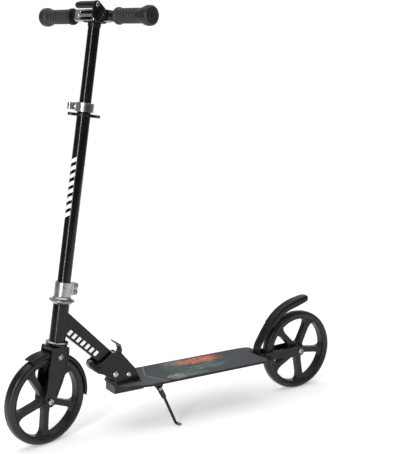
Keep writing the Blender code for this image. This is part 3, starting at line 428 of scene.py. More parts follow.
def deck_print():
    """Grit tape in charcoal with a generic print of coloured streaks."""
    made, tree, shader = shader_of("grip_tape")
    place = add_node(tree, "ShaderNodeTexCoord", {}).outputs["Object"]
    swirl = add_node(tree, "ShaderNodeTexNoise", {"Vector": place, "Scale": 34.0, "Detail": 5.0})
    shift = add_node(tree, "ShaderNodeVectorMath", {0: swirl.outputs["Color"], 1: (0.5, 0.5, 0.5)},
                     operation="SUBTRACT").outputs[0]
    shift = add_node(tree, "ShaderNodeVectorMath", {0: shift, "Scale": 0.034},
                     operation="SCALE").outputs[0]
    bent = add_node(tree, "ShaderNodeVectorMath", {0: place, 1: shift}, operation="ADD").outputs[0]
    axes = add_node(tree, "ShaderNodeSeparateXYZ", {0: bent})
    axes = (axes.outputs["X"], axes.outputs["Y"])
    streaked = add_node(tree, "ShaderNodeMapping", {"Vector": bent, "Rotation": (0, 0, 0.25),
                                                    "Scale": (16.0, 120.0, 1.0)}).outputs[0]
    slow = noise(tree, place, 60.0, 4.0)
    colour = blend(tree, slow, (0.062, 0.070, 0.076, 1), (0.090, 0.100, 0.106, 1))
    for centre, size, tint, fineness, gap, strength in PRINT:
        mask = ellipse(tree, axes, centre, size)
        streak = remap(tree, noise(tree, streaked, fineness, 4.0, 1.2), gap, gap + 0.09, 0.0, 1.0)
        share = math_node(tree, "MULTIPLY", math_node(tree, "MULTIPLY", mask, streak), strength)
        colour = blend(tree, share, colour, (*tint, 1))
    behind = chevron(tree, place)
    nose = remap(tree, behind, -0.001, 0.001, 0.35, 0.0)
    colour = blend(tree, nose, colour, (0.12, 0.15, 0.14, 1))
    line = remap(tree, math_node(tree, "ABSOLUTE", behind), 0.0008, 0.0016, 0.55, 0.0)
    colour = blend(tree, line, colour, (0.45, 0.48, 0.46, 1))
    grit = add_node(tree, "ShaderNodeTexVoronoi", {"Vector": place, "Scale": 1500.0})
    speck = remap(tree, grit.outputs["Distance"], 0.0, 0.7, 1.25, 0.75)
    colour = add_node(tree, "ShaderNodeVectorMath", {0: colour, "Scale": speck}, operation="SCALE")
    relief = add_node(tree, "ShaderNodeBump", {"Strength": 0.5, "Distance": 0.0004,
                                               "Height": grit.outputs["Distance"]})
    tree.links.new(colour.outputs[0], shader.inputs["Base Color"])
    tree.links.new(relief.outputs["Normal"], shader.inputs["Normal"])
    tree.links.new(remap(tree, slow, 0.3, 0.7, 0.80, 0.95), shader.inputs["Roughness"])
    return made


LOOKS = {
    "black_paint": surface("black_paint", (0.003, 0.003, 0.004), (0.006, 0.006, 0.007), (0.17, 0.24),
                           1500.0, 0.015, 0.35, Specular_IOR_Level=0.30),
    "deck_paint": surface("deck_paint", (0.008, 0.008, 0.009), (0.016, 0.016, 0.018), (0.36, 0.52),
                          1500.0, 0.12, 0.40, Specular_IOR_Level=0.30),
    "black_plastic": surface("black_plastic", (0.005, 0.005, 0.006), (0.010, 0.010, 0.011),
                             (0.28, 0.40), 2200.0, 0.14, Specular_IOR_Level=0.30),
    "grey_plastic": surface("grey_plastic", (0.055, 0.056, 0.058), (0.090, 0.091, 0.094),
                            (0.45, 0.58), 2200.0, 0.16),
    "tyre": surface("tyre", (0.006, 0.006, 0.007), (0.012, 0.012, 0.013), (0.26, 0.40), 1300.0, 0.14,
                    Specular_IOR_Level=0.40),
    "grip_rubber": surface("grip_rubber", (0.009, 0.009, 0.010), (0.017, 0.017, 0.018),
                           (0.42, 0.60), 1800.0, 0.22, Specular_IOR_Level=0.45),
    "silver": surface("silver", (0.34, 0.34, 0.35), (0.48, 0.48, 0.49), (0.20, 0.34), 900.0, 0.06,
                      0.0, (1, 1, 9), Metallic=1.0, Anisotropic=0.4),
    "chrome": surface("chrome", (0.70, 0.70, 0.71), (0.82, 0.82, 0.83), (0.07, 0.16), 700.0, 0.02,
                      Metallic=1.0),
    "steel": surface("steel", (0.30, 0.30, 0.31), (0.44, 0.44, 0.45), (0.26, 0.42), 1100.0, 0.08,
                     Metallic=1.0),
    "dark_steel": surface("dark_steel", (0.09, 0.09, 0.095), (0.15, 0.15, 0.155), (0.30, 0.45),
                          1100.0, 0.10, Metallic=1.0),
    "mark_white": surface("mark_white", (0.86, 0.86, 0.85), (0.94, 0.94, 0.93), (0.35, 0.50),
                          1500.0, 0.08),
    "grip_tape": deck_print(),
}


# ---------------------------------------------------------------- pieces
def merged(name, parts, look):
    """One mesh from several; a part may be a (mesh, look) pair."""
    verts, faces, slots, looks = [], [], [], []
    for part in parts:
        mesh, own = part if isinstance(part, tuple) else (part, look)
        if own not in looks:
            looks.append(own)
        start = len(verts)
        verts += [vert.co.copy() for vert in mesh.vertices]
        faces += [tuple(start + v for v in face.vertices) for face in mesh.polygons]
        slots += [looks.index(own)] * len(mesh.polygons)
        bpy.data.meshes.remove(mesh)
    made = bpy.data.meshes.new(name)
    made.from_pydata(verts, [], faces)
    for own in looks:
        made.materials.append(LOOKS[own])
    made.polygons.foreach_set("material_index", slots)
    return made


def piece(name, parts, body, look, *nodes):
    """Make a visible piece from mesh parts: it rides on a body and stands for CAD nodes."""
    mesh = merged(name, parts, look)
    made = linked(name, mesh)
    weld = made.modifiers.new("weld", "WELD")
    weld.merge_threshold = 1e-6
    mesh.shade_smooth()
    mesh.set_sharp_from_angle(angle=math.radians(38))
    normals = made.modifiers.new("normals", "WEIGHTED_NORMAL")
    normals.keep_sharp = True
    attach(made, body)
    if nodes:
        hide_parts(*nodes)
    return made


def dress(node, parts, body, look):
    """Make the visible piece that takes the place of one CAD node."""
    piece(node + "_look", parts, body, look, node)


# ---------------------------------------------------------------- wheels
SPOKE_DEPTH = 0.0085                         # half of a spoke's size along the axle
SPOKE_ROOT, SPOKE_END = 0.0140, RIM_INNER_R + 0.0016


def spoke_half(radius):
    """Half width of a spoke: wider at the hub, and much wider where it meets the rim."""
    flare = max(0.0, (radius - 0.058) / (RIM_INNER_R - 0.058))
    root = max(0.0, (0.030 - radius) / 0.012)
    spread = max(0.0, (radius - 0.0700) / (RIM_INNER_R - 0.0700))
    return 0.0070 + 0.0060 * flare ** 2 + 0.0012 * root + 0.0065 * spread ** 3


def spoke(angle_deg, matrix):
    """A spoke of rounded rectangular section."""
    angle = math.radians(angle_deg)
    outward = Vector((math.sin(angle), 0.0, math.cos(angle)))
    across = Vector((math.cos(angle), 0.0, -math.sin(angle)))
    rings = []
    for step in range(45):
        radius = SPOKE_ROOT + (SPOKE_END - SPOKE_ROOT) * step / 44
        wide = spoke_half(radius)
        section = [(-wide, -SPOKE_DEPTH), (wide, -SPOKE_DEPTH), (wide, SPOKE_DEPTH),
                   (-wide, SPOKE_DEPTH)]
        rings.append([outward * radius + across * u + Vector((0.0, v, 0.0))
                      for u, v in rounded(section, 0.0015, True, 5)])
    return from_grid(rings, True, False, matrix)


def build_wheel(word, matrix, first_spoke):
    body = word + "_wheel"
    turned = matrix @ ALONG_Y
    half = TYRE_HALF
    tread = [(RIM_SEAT_R, -0.80 * half), (0.0868, -0.93 * half), (0.0880, -0.90 * half),
             (0.0892, -0.97 * half), (0.0915, -half), (0.0945, -0.97 * half),
             (0.0970, -0.84 * half), (0.0989, -0.62 * half), (0.0999, -0.33 * half)]
    tread += [(WHEEL_R, 0.0)] + [(radius, -height) for radius, height in reversed(tread)]
    dress(f"{word}_tyre", [lathe(tread, turned, 0.0010, 128)], body, "tyre")

    spokes = [spoke(first_spoke + 72 * index, matrix) for index in range(5)]
    lip = RIM_INNER_R + 0.0008
    band = lathe([(RIM_INNER_R, -SPOKE_DEPTH), (lip, -RIM_HALF), (RIM_SEAT_R, -RIM_HALF),
                  (RIM_SEAT_R, RIM_HALF), (lip, RIM_HALF), (RIM_INNER_R, SPOKE_DEPTH)],
                 turned, 0.0006, 128)
    hub = lathe([(0.0112, -HUB_HALF), (HUB_R, -HUB_HALF), (HUB_R + 0.0006, -0.0110),
                 (HUB_R + 0.0050, -0.0080), (HUB_R + 0.0050, 0.0080), (HUB_R + 0.0006, 0.0110),
                 (HUB_R, HUB_HALF), (0.0112, HUB_HALF)], turned, 0.0012)
    dress(f"{word}_rim", spokes + [band, hub], body, "black_plastic")
    for side, name in SIDES:
        low, high = sorted((side * 0.0101, side * HUB_HALF))
        ring = tube(AXLE_BORE, 0.0109, low, high, turned)
        level = side * (HUB_HALF + 0.00005)
        seal = tube(0.0062, 0.0095, level - 0.0003, level + 0.0001, turned, 0.0001)
        dress(f"{word}_bearing_{name}", [ring, (seal, "black_plastic")], body, "steel")


def through_bolt(node, matrix, shank, head, reach, thick, body, look):
    """A bolt with a socket head at each side, lying along Z of the matrix."""
    parts = [tube(0, shank, -reach, reach, matrix)]
    for aim in (matrix, matrix @ UPSIDE_DOWN):
        parts.append(bolt_head(head, thick, aim @ move(z=reach)))
    dress(node, parts, body, look)


# ---------------------------------------------------------------- fork and front fender
def pressed(outline, side, matrix, hole, wide=0.0038):
    """A pressed side plate: a thin web and a raised rib round its edge."""
    low, high = sorted((side * HALF_IN, side * (HALF_OUT - 0.0014)))
    rib_low, rib_high = sorted((side * HALF_IN, side * HALF_OUT))
    loop = rounded(outline, 0.0030)
    web = plate(loop, low, high, "XZ", matrix, 0.0003, holes=[hole])
    opening = rounded(inset(outline, wide), 0.004)
    rib = plate(loop, rib_low, rib_high, "XZ", matrix, 0.0007, holes=[opening])
    return [web, rib]


def build_fork():
    build_legs()
    crown = plate([(-0.0235, 0.1095), (0.0195, 0.1095), (0.0190, 0.1185), (-0.0240, 0.1185)],
                  -0.0169, 0.0169, "XZ", STEER, 0.0010, 0.0015)
    dress("fork_crown", [crown], "steering", "black_paint")
    dress("steerer", [tube(0.0108, 0.0128, 0.1100, 0.2620, STEER)], "steering", "steel")
    through_bolt("front_axle", FRONT_WHEEL @ ALONG_Y, AXLE_R, 0.0068, 0.0212, 0.0034,
                 "steering", "silver")
    build_front_fender()


def build_legs():
    eye = (-FORK_OFFSET, 0.0)
    leg = ([(-0.0245, 0.1185), (-0.0262, 0.0600)] + arc(eye, 0.0130, 180, 360, 16) +
           [(0.0040, 0.0120), (0.0130, 0.0400), (0.0195, 0.0680), (0.0220, 0.1000),
            (0.0200, 0.1185)])
    for side, word in SIDES:
        parts = pressed(leg, side, STEER, circle(eye, AXLE_BORE))
        low, high = sorted((side * HALF_IN, side * HALF_OUT))
        parts.append(tube(AXLE_BORE, 0.0092, low, high, STEER @ move(x=eye[0]) @ ALONG_Y))
        dress(f"fork_leg_{word}", parts, "steering", "black_paint")
        aim = STEER @ move(-0.0003, 0, 0.0970) @ (ALONG_Y if side > 0 else AGAINST_Y)
        shank = tube(0, 0.0025, 0.0153, 0.0205, aim)
        washer = tube(0, 0.0062, 0.0198, 0.0208, aim, 0.0002)
        head = bolt_head(0.0052, 0.0030, aim @ move(z=0.0208))
        dress(f"fender_bolt_{word}", [shank, washer, head], "steering", "silver")


def build_front_fender():
    centre = (-FORK_OFFSET + 0.0005, 0.0026)
    rings = []
    for step in range(65):
        share = step / 64
        angle = math.radians(123.5 * (1 - share))
        past = max(0.0, abs(share - 0.5) / 0.5 - 0.90)          # into the rounded tenth at each end
        ends = min(1.0, math.sqrt(max(0.0, 1 - past ** 2 / 0.011)))
        rings.append([(centre[0] + r * math.cos(angle), y, centre[1] + r * math.sin(angle))
                      for y, r in arch(0.0168 * (0.82 + 0.18 * ends), 0.1045,
                                       0.0020 + 0.0070 * ends, 0.0016)])
    fender = from_grid(rings, True, False, STEER)
    tabs = [block((-0.0080, side * 0.0160 - 0.0008, 0.0900), (0.0075, side * 0.0160 + 0.0008, 0.1020),
                  STEER, 0.0003) for side in (-1, 1)]
    dress("front_fender", [fender] + tabs, "steering", "black_plastic")


def arch(half, top, drop, thick):
    """Section of a hood as (Y, radius) points: a flat crown, round shoulders and short sides."""
    round_r = min(0.0050, half * 0.5, drop)
    outer = [(-half, top - drop)] + arc((-half + round_r, top - round_r), round_r, 180, 90, 6)
    outer += arc((half - round_r, top - round_r), round_r, 90, 0, 6) + [(half, top - drop)]
    inner_r = max(round_r - thick, 0.0002)
    inside = half - thick
    low = top - thick
    inner = [(inside, top - drop)] + arc((inside - inner_r, low - inner_r), inner_r, 0, 90, 6)
    inner += arc((-inside + inner_r, low - inner_r), inner_r, 90, 180, 6) + [(-inside, top - drop)]
    return outer + inner


# ---------------------------------------------------------------- column, clamp and clip
def split_collar(outer, low, high, ears, matrix):
    """A ring with a slot and two ears, on the side of +X or of -X."""
    side = 1 if ears[0] > 0 else -1
    bore = COLUMN_R + GAP
    gap = math.degrees(math.asin(0.0012 / bore))
    start = 0 if side > 0 else 180
    ring = (arc((0, 0), outer, start + gap * 0.8, start + 360 - gap * 0.8, 90) +
            arc((0, 0), bore, start + 360 - gap, start + gap, 90))
    parts = [plate(ring, low, high, "XY", matrix, 0.0007)]
    near, far = sorted(ears)
    for ear in (-1, 1):
        y_low, y_high = sorted((ear * 0.0012, ear * 0.0078))
        inner = [near, far]
        inner[0 if side > 0 else 1] = side * 0.0152
        parts.append(block((min(inner), y_low, low + 0.0020), (max(inner), y_high, high - 0.0020),
                           matrix, 0.0007))
    return parts


def build_column():
    column = tube(COLUMN_BORE, COLUMN_R, COLUMN_LOW, COLUMN_TOP, STEER, 0.0003)
    dress("lower_column", [column], "steering", "black_paint")
    cap = [(0.0137, 0.2172), (0.0276, 0.2172), (0.0282, 0.2190), (0.0276, 0.2204),
           (0.0215, 0.2225), (0.0180, 0.2268), (0.0137, 0.2268)]
    dress("headset_cap", [lathe(cap, STEER, 0.0006)], "steering", "silver")
    dress("lower_collar", split_collar(0.0188, COLUMN_LOW, 0.2585, (0.0180, 0.0335), STEER),
          "steering", "silver")
    for word, height in (("lower", 0.2375), ("upper", 0.2510)):
        through_bolt(f"collar_bolt_{word}", STEER @ move(0.02875, 0, height) @ ALONG_Y, 0.0028,
                     0.0046, 0.0081, 0.0028, "steering", "steel")
    dress("height_clamp", split_collar(0.0196, 0.6235, 0.6425, (-0.0180, -0.0330), STEER),
          "steering", "silver")
    aim = STEER @ move(-0.0285, 0, 0.6330) @ AGAINST_Y
    dress("clamp_bolt", [tube(0, 0.0028, -0.0088, 0.0081, aim),
                              bolt_head(0.0062, 0.0042, aim @ move(z=0.0081))],
          "steering", "steel")
    lever = (arc((0, 0), 0.0060, 95, 300, 16) +
             [(0.0120, -0.0005), (0.0200, 0.0045), (0.0300, 0.0064), (0.0370, 0.0058),
              (0.0400, 0.0075), (0.0390, 0.0098), (0.0300, 0.0102), (0.0170, 0.0088),
              (0.0070, 0.0070)])
    dress("clamp_lever", [plate(lever, -0.0070, 0.0070, "XY", CLAMP, 0.0009, 0.003)], "clamp",
          "silver")
    button = [(0, -0.0036), (0.0028, -0.0036), (0.0028, 0.0028), (0.0018, 0.0042), (0, 0.0045)]
    dress("height_button", [lathe(button, BUTTON @ ALONG_X)], "button", "steel")
    build_clip()


def build_clip():
    """The plastic plate under the clamp, with a cradle at each side for a folded handle."""
    low, high = 0.6138, 0.6203
    clip = [plate(circle((0, 0), 0.0182, 80), low, high, "XY", STEER, 0.0006,
                  holes=[circle((0, 0), COLUMN_R + GAP, 80)])]
    for side in (-1, 1):
        centre, inward = (0, side * 0.0390), -90 * side
        cradle = (arc(centre, 0.0182, inward - 72, inward + 72, 40) +
                  arc(centre, 0.0158, inward + 72, inward - 72, 40))
        clip.append(plate(cradle, low, high, "XY", STEER, 0.0006))
        near, far = sorted((side * 0.0165, side * 0.0225))
        clip.append(block((-0.0070, near, low + 0.001), (0.0070, far, high - 0.001), STEER, 0.0004))
    dress("handle_clip", clip, "steering", "black_plastic")


def build_mast():
    mast = tube(MAST_BORE, MAST_R, MAST_LOW, MAST_TOP, STEER, 0.0003)
    slot = plate([(0.4600, -0.0036), (0.6964, -0.0036), (0.6990, -0.0024), (0.7000, 0.0),
                  (0.6990, 0.0024), (0.6964, 0.0036), (0.4600, 0.0036)], 0.004, 0.030, "XY",
                 STEER @ Matrix(((0, 0, 1, 0), (0, 1, 0, 0), (1, 0, 0, 0), (0, 0, 0, 1))), 0.0001)
    dress("upper_column", [without(mast, slot)], "mast", "black_paint")


# ---------------------------------------------------------------- T head and handles
WALL = 0.0235                                # half width of the T head's box


def build_tee():
    hub = lathe([(0.0131, 0.8020), (0.0136, 0.8020), (0.0140, 0.8030), (0.0140, 0.8120),
                 (0.0131, 0.8120)], STEER, 0.0005)
    body = block((-0.0125, -WALL, 0.8110), (0.0125, WALL, 0.8375), STEER, 0.0008)
    fork = [(-0.0445, 0.8180), (-0.0470, 0.8200), (-0.0470, 0.8310), (-0.0445, 0.8355),
            (0.0455, 0.8360), (0.0480, 0.8310), (0.0480, 0.8190), (0.0455, 0.8160),
            (0.0180, 0.8100), (-0.0180, 0.8105), (-0.0240, 0.8145)]
    parts = [hub, body]
    for low, high in ((0.0088, 0.0125), (-0.0125, -0.0088)):
        parts.append(plate(fork, low, high, "YZ", STEER, 0.0007, 0.0020))
    gable = arc(LOCK_AT, 0.0088, 50, 180, 20) + [(-0.0262, 0.8400), (-0.0262, 0.8200),
                                                (-0.0140, 0.8115), (0.0125, 0.8115),
                                                (0.0175, 0.8200), (0.0175, 0.8335)]
    parts.append(plate(gable, -WALL - 0.0001, -WALL + 0.0038, "XZ", STEER, 0.0008, 0.0025))
    dress("tee_head", parts, "mast", "black_plastic")

    face = -0.0128
    strap = [(-0.0150, 0.8128), (0.0490, 0.8128), (0.0490, 0.8362), (-0.0150, 0.8362)]
    windows = [rounded([(-0.0095, low), (0.0300, low), (0.0300, high), (-0.0095, high)], 0.0016)
               for low, high in ((0.8272, 0.8340), (0.8150, 0.8212))]
    dress("tee_strap", [plate(strap, face - 0.0034, face, "YZ", STEER, 0.0006, 0.0020,
                                   holes=windows)], "mast", "chrome")
    for side, word, look, reach in ((-1, "left", "black_paint", 0.0128),
                                    (1, "right", "steel", 0.0163)):
        aim = STEER @ move(0, side * HANDLE_PIN, BAR_AT) @ ALONG_X
        parts = [tube(0, 0.0035, -reach, 0.0128, aim),
                 bolt_head(0.0052, 0.0022, aim @ move(z=0.0128)),
                 bolt_head(0.0052, 0.0022, aim @ UPSIDE_DOWN @ move(z=reach))]
        dress(f"handle_pin_{word}", parts, "mast", look)
    build_lock()


def build_lock():
    """The bolt over the T head and the lever that lies along it."""
    aim = STEER @ move(LOCK_AT[0], 0, LOCK_AT[1]) @ AGAINST_Y
    shank = tube(0, 0.0029, -0.0300, WALL, aim)
    dress("lock_bolt", [shank, bolt_head(0.0054, 0.0030, aim @ move(z=WALL + GAP), 0.5)],
          "mast", "silver")
    start = -0.0194
    bar = [(0.0032, start), (0.0060, start), (0.0070, start + 0.0012), (0.0070, 0.0405),
           (0.0062, 0.0433), (0.0040, 0.0449), (0, 0.0453)]
    ridge = block((-0.0015, start + 0.004, 0.0060), (0.0015, 0.0370, 0.0078), LOCK, 0.0005)
    dress("lock_lever", [lathe([(0, start)] + bar, LOCK @ ALONG_Y, 0.0008), ridge], "lock",
          "black_plastic")


def grip_outline(start, end):
    """(radius, height) outline of a grip: two bells, soft ridges and rings on the outer face."""
    outline = [(0.0103, start), (0.0155, start), (0.0178, start + 0.002), (0.0178, start + 0.005),
               (0.0154, start + 0.008)]
    first, last, pitch = start + 0.0110, end - 0.0240, 0.0090
    count = int((last - first) / pitch)
    for ridge in range(count):
        base = first + pitch * ridge
        outline += [(0.0139, base), (0.0139, base + 0.0020), (0.0156, base + 0.0040),
                    (0.0156, base + 0.0070)]
    outline += [(0.0150, end - 0.0240), (0.0190, end - 0.0190), (0.0205, end - 0.0120),
                (0.0200, end - 0.0040), (0.0165, end), (0.0135, end), (0.0125, end - 0.0010),
                (0.0105, end - 0.0010), (0.0095, end), (0.0062, end), (0.0055, end - 0.0010),
                (0.0, end - 0.0010)]
    return [(0.0, start + 0.001)] + outline


def build_handle(word, side, matrix, look):
    lug = arc((0, 0), 0.0125, 90, 270, 30) + [(0.0185, -0.0105), (0.0185, 0.0105)]
    aim = matrix if side > 0 else matrix @ BACKWARDS
    start, end = 0.0355, BAR_HALF - HANDLE_PIN
    parts = [plate(lug, -0.0085, 0.0085, "YZ", aim, 0.0010, holes=[circle((0, 0), 0.0038)])]
    shaft = [(0, 0.0160), (0.0112, 0.0160), (0.0112, 0.0235), (0.0100, 0.0260),
             (0.0100, start + 0.01), (0, start + 0.01)]
    parts.append((lathe(shaft, aim @ ALONG_Y), "black_paint"))
    dress(word + "_handle", parts, word + "_bar", look)
    dress(word + "_grip", [lathe(grip_outline(start, end), aim @ ALONG_Y, 0.0007)],
          word + "_bar", "grip_rubber")


# ---------------------------------------------------------------- neck and head tube
def build_head():
    shell = tube(0.0162, HEAD_TUBE_R, HEAD_TUBE_LOW, HEAD_TUBE_TOP, HEAD)
    dress("head_tube", [shell], "front_frame", "black_paint")
    upper = [(0.0137, 0.2112), (0.0200, 0.2112), (0.0252, 0.2155), (0.0264, 0.2169),
             (0.0137, 0.2169)]
    dress("headset_cup_upper", [lathe(upper, HEAD, 0.0005)], "front_frame", "silver")
    dish = [(0.0180, 0.1246), (0.0250, 0.1262), (0.0252, 0.1272), (0.0225, 0.1290),
            (0.0180, 0.1297)]
    under = [(0.0140, 0.1190), (0.0220, 0.1190), (0.0238, 0.1216), (0.0246, 0.1244),
             (0.0180, 0.1244), (0.0180, 0.1290), (0.0140, 0.1290)]
    dress("headset_cup_lower", [lathe(dish, HEAD, 0.0004), (lathe(under, HEAD), "black_paint")],
          "front_frame", "silver")


def build_neck():
    outline = [(-0.1250, 0.1722), (-0.0100, 0.0560), (-0.0010, 0.0460), (0.0170, 0.0400),
               (0.0200, 0.0270), (0.0135, 0.0120)]
    outline += arc((0, 0), 0.0150, 20, -140, 24)
    outline += [(-0.0340, 0.0290), (-0.0520, 0.0465), (-0.1330, 0.1200)]
    neck = plate(outline, -NECK_HALF, NECK_HALF, "XZ", FOLD, 0.0012, 0.0015)
    dress("neck", [neck], "front_frame", "black_paint")
    lever = (arc((0, 0), 0.0045, -200, 20, 16) +
             [(0.0115, 0.0100), (0.0130, 0.0155), (0.0095, 0.0290), (-0.0048, 0.0390),
              (-0.0068, 0.0366), (0.0052, 0.0262), (0.0088, 0.0155), (0.0066, 0.0105)])
    dress("release_lever", [plate(lever, -0.0100, 0.0100, "XZ", RELEASE, 0.0006, 0.0020)],
          "release", "dark_steel")
    dress("release_pin", [tube(0, 0.0020, -0.0167, 0.0167, RELEASE @ ALONG_Y)],
          "front_frame", "steel")


# ---------------------------------------------------------------- deck, bracket and rear end
def build_deck():
    right = [(-0.1150, DECK_HALF), (-0.1380, 0.0560), (-0.1630, 0.0487), (-0.1790, 0.0400),
             (-0.1850, 0.0310)]
    tail = [(0.2160, DECK_HALF), (0.2320, 0.0600), (0.2400, 0.0520), (0.2400, 0.0255),
            (0.2180, 0.0255)]
    outline = (list(reversed(right)) + tail + [(x, -y) for x, y in reversed(tail)] +
               [(x, -y) for x, y in right])
    parts = [plate(outline, DECK_BOTTOM, DECK_TOP, "XY", DECK, 0.0010, 0.0012)]
    wall, top = 0.0030, 0.1035
    for bottom, low, high in ((0.0860, -0.1850, -0.1110), (0.0886, -0.1112, 0.1680)):
        section = [(-SPINE_HALF, bottom), (SPINE_HALF, bottom), (SPINE_HALF, top),
                   (-SPINE_HALF, top)]
        bore = [(-SPINE_HALF + wall, bottom + wall), (SPINE_HALF - wall, bottom + wall),
                (SPINE_HALF - wall, top - 0.0015), (-SPINE_HALF + wall, top - 0.0015)]
        parts.append(plate(section, low, high, "YZ", DECK, 0.0004, 0.0010,
                           holes=[rounded(bore, 0.001)]))
    dress("deck", parts, "deck", "deck_paint")
    cap = [(-0.0213, 0.0862), (0.0213, 0.0862), (0.0213, 0.1065), (-0.0213, 0.1065)]
    nose = [plate(cap, -0.1866, -0.1853, "YZ", DECK, 0.0005, 0.0020)]
    for row in range(4):
        z = 0.0900 + 0.0042 * row
        nose.append(block((-0.1866, -0.0170, z), (-0.1862, 0.0170, z + 0.0016), DECK, 0.0001))
    dress("deck_nose_cap", nose, "deck", "grey_plastic")
    edge = 0.0600
    side = [(-0.1830, 0.0292), (-0.1775, 0.0385), (-0.1622, 0.0468), (-0.1370, 0.0541),
            (-0.1145, edge), (0.2060, edge), (0.2140, edge - 0.0022), (0.2170, edge - 0.0060)]
    tape = side + [(x, -y) for x, y in reversed(side)]
    dress("grip_tape", [plate(tape, DECK_TOP, TAPE_TOP, "XY", DECK, 0.0003)], "deck",
          "grip_tape")


def build_bracket():
    parts = [block((-0.1840, -0.0280, DECK_TOP + GAP), (-0.1195, 0.0280, 0.1109), DECK, 0.0008)]
    back = [(-0.1850, 0.1090), (-0.1215, 0.1090), (-0.1222, 0.1130), (-0.1344, 0.1396)]
    front = [(-0.2150, 0.1690), (-0.2310, 0.1620), (-0.2350, 0.1530), (-0.2290, 0.1430),
             (-0.2130, 0.1370), (-0.1960, 0.1240), (-0.1850, 0.1180)]
    for side, top in ((-1, [(-0.1715, 0.1838), (-0.1945, 0.1835)]),
                      (1, [(-0.1640, 0.1750), (-0.1900, 0.1750)])):
        low, high = sorted((side * CHEEK_IN, side * CHEEK_OUT))
        parts.append(plate(back + top + front, low, high, "XZ", DECK, 0.0008, 0.0050))
    dress("fold_bracket", parts, "deck", "black_paint")
    build_bracket_bolts()


def build_bracket_bolts():
    reach = CHEEK_OUT + GAP
    for side, word in SIDES:
        aim = DECK @ move(BRACKET_BOLT[0], 0, BRACKET_BOLT[1])
        aim = aim @ (ALONG_Y if side > 0 else AGAINST_Y)
        shank = lathe([(0, 0.0186), (0.0050, 0.0186), (0.0050, 0.0212), (0.0030, 0.0212),
                       (0.0030, reach), (0, reach)], aim)
        dress(f"bracket_bolt_{word}", [shank, bolt_head(0.0058, 0.0036, aim @ move(z=reach))],
              "deck", "silver")
    through_bolt("fold_pivot", FOLD @ ALONG_Y, 0.0050, 0.0066, reach, 0.0036, "deck", "silver")
    stop = DECK @ move(STOP_AT[0], 0, STOP_AT[1]) @ ALONG_Y
    through_bolt("stop_bolt", stop, 0.0030, 0.0055, reach, 0.0018, "deck", "black_paint")
    spool = [(0.0033, -0.0210), (0.0086, -0.0210), (0.0093, -0.0180), (0.0093, 0.0180),
             (0.0086, 0.0210), (0.0033, 0.0210)]
    parts = [lathe(spool, stop, 0.0008)]
    for low, high in ((0.0090, 0.0140), (0.0152, 0.0208)):
        parts.append((tube(0.0033, 0.0096, low, high, stop), "silver"))
    dress("stop_buffer", parts, "deck", "black_plastic")


def build_rear_fork():
    axle = (WHEELBASE / 2, WHEEL_R)
    outline = [(0.1700, 0.0900), (0.1700, 0.1037), (0.2184, 0.1037), (0.2190, 0.1085),
               (0.2400, 0.1102), (0.2800, 0.1124), (0.3270, 0.1138)]
    outline += arc(axle, 0.0125, 80, -90, 24)
    outline += [(0.3276, 0.0890), (0.2800, 0.0898), (0.2200, 0.0888)]
    for side, word in SIDES:
        low, high = sorted((side * HALF_IN, side * HALF_OUT))
        arm = plate(outline, low, high, "XZ", DECK, 0.0008, 0.0020, holes=[circle(axle, AXLE_BORE)])
        dress(f"rear_arm_{word}", [arm], "deck", "black_paint")
    through_bolt("rear_axle", REAR_WHEEL @ ALONG_Y, AXLE_R, 0.0068, HALF_OUT + GAP, 0.0036,
                 "deck", "silver")
    pin = Matrix.Translation(spot("brake_press")) @ ALONG_Y
    through_bolt("brake_pin", pin, 0.0025, 0.0045, HALF_OUT + GAP, 0.0020, "deck", "steel")


# stations of the brake fender: top edge, lower edge, half width
BRAKE_STATIONS = [
    ((0.2207, 0.0966), (0.2242, 0.0966), 0.0140), ((0.2207, 0.1130), (0.2242, 0.1130), 0.0140),
    ((0.2232, 0.1285), (0.2266, 0.1272), 0.0140), ((0.2362, 0.1510), (0.2398, 0.1488), 0.0140),
    ((0.2440, 0.1640), (0.2478, 0.1600), 0.0140), ((0.2525, 0.1775), (0.2570, 0.1700), 0.0140),
    ((0.2665, 0.1965), (0.2750, 0.1868), 0.0140), ((0.2880, 0.2137), (0.2960, 0.2003), 0.0140),
    ((0.3100, 0.2252), (0.3149, 0.2085), 0.0140), ((0.3320, 0.2327), (0.3370, 0.2150), 0.0140),
    ((0.3540, 0.2373), (0.3600, 0.2220), 0.0139), ((0.3640, 0.2386), (0.3690, 0.2250), 0.0132),
    ((0.3725, 0.2388), (0.3740, 0.2280), 0.0112), ((0.3760, 0.2362), (0.3765, 0.2315), 0.0080),
]


def build_brake():
    tops = smooth_path([top for top, _, _ in BRAKE_STATIONS], 5)
    lows = smooth_path([low for _, low, _ in BRAKE_STATIONS], 5)
    halves = smooth_path([(half, 0.0) for _, _, half in BRAKE_STATIONS], 5)
    rings = []
    for top, low, half in zip(tops, lows, halves):
        inward = low - top
        drop = inward.length
        inward.normalize()
        rings.append([(top.x + inward.x * depth, y, top.y + inward.y * depth)
                      for y, depth in channel(half.x, drop)])
    parts = [from_grid(rings, True, False, DECK)]
    pivot = Matrix.Translation(spot("brake_press")) @ ALONG_Y
    parts.append(tube(0.0028, 0.0060, -0.0140, 0.0140, pivot))
    wheel = (WHEELBASE / 2, WHEEL_R)
    pad = arc(wheel, 0.1225, 124, 138, 12) + arc(wheel, 0.1042, 138, 124, 12)
    parts.append(plate(pad, -0.0110, 0.0110, "XZ", DECK, 0.0006))
    dress("brake_fender", parts, "brake", "black_plastic")


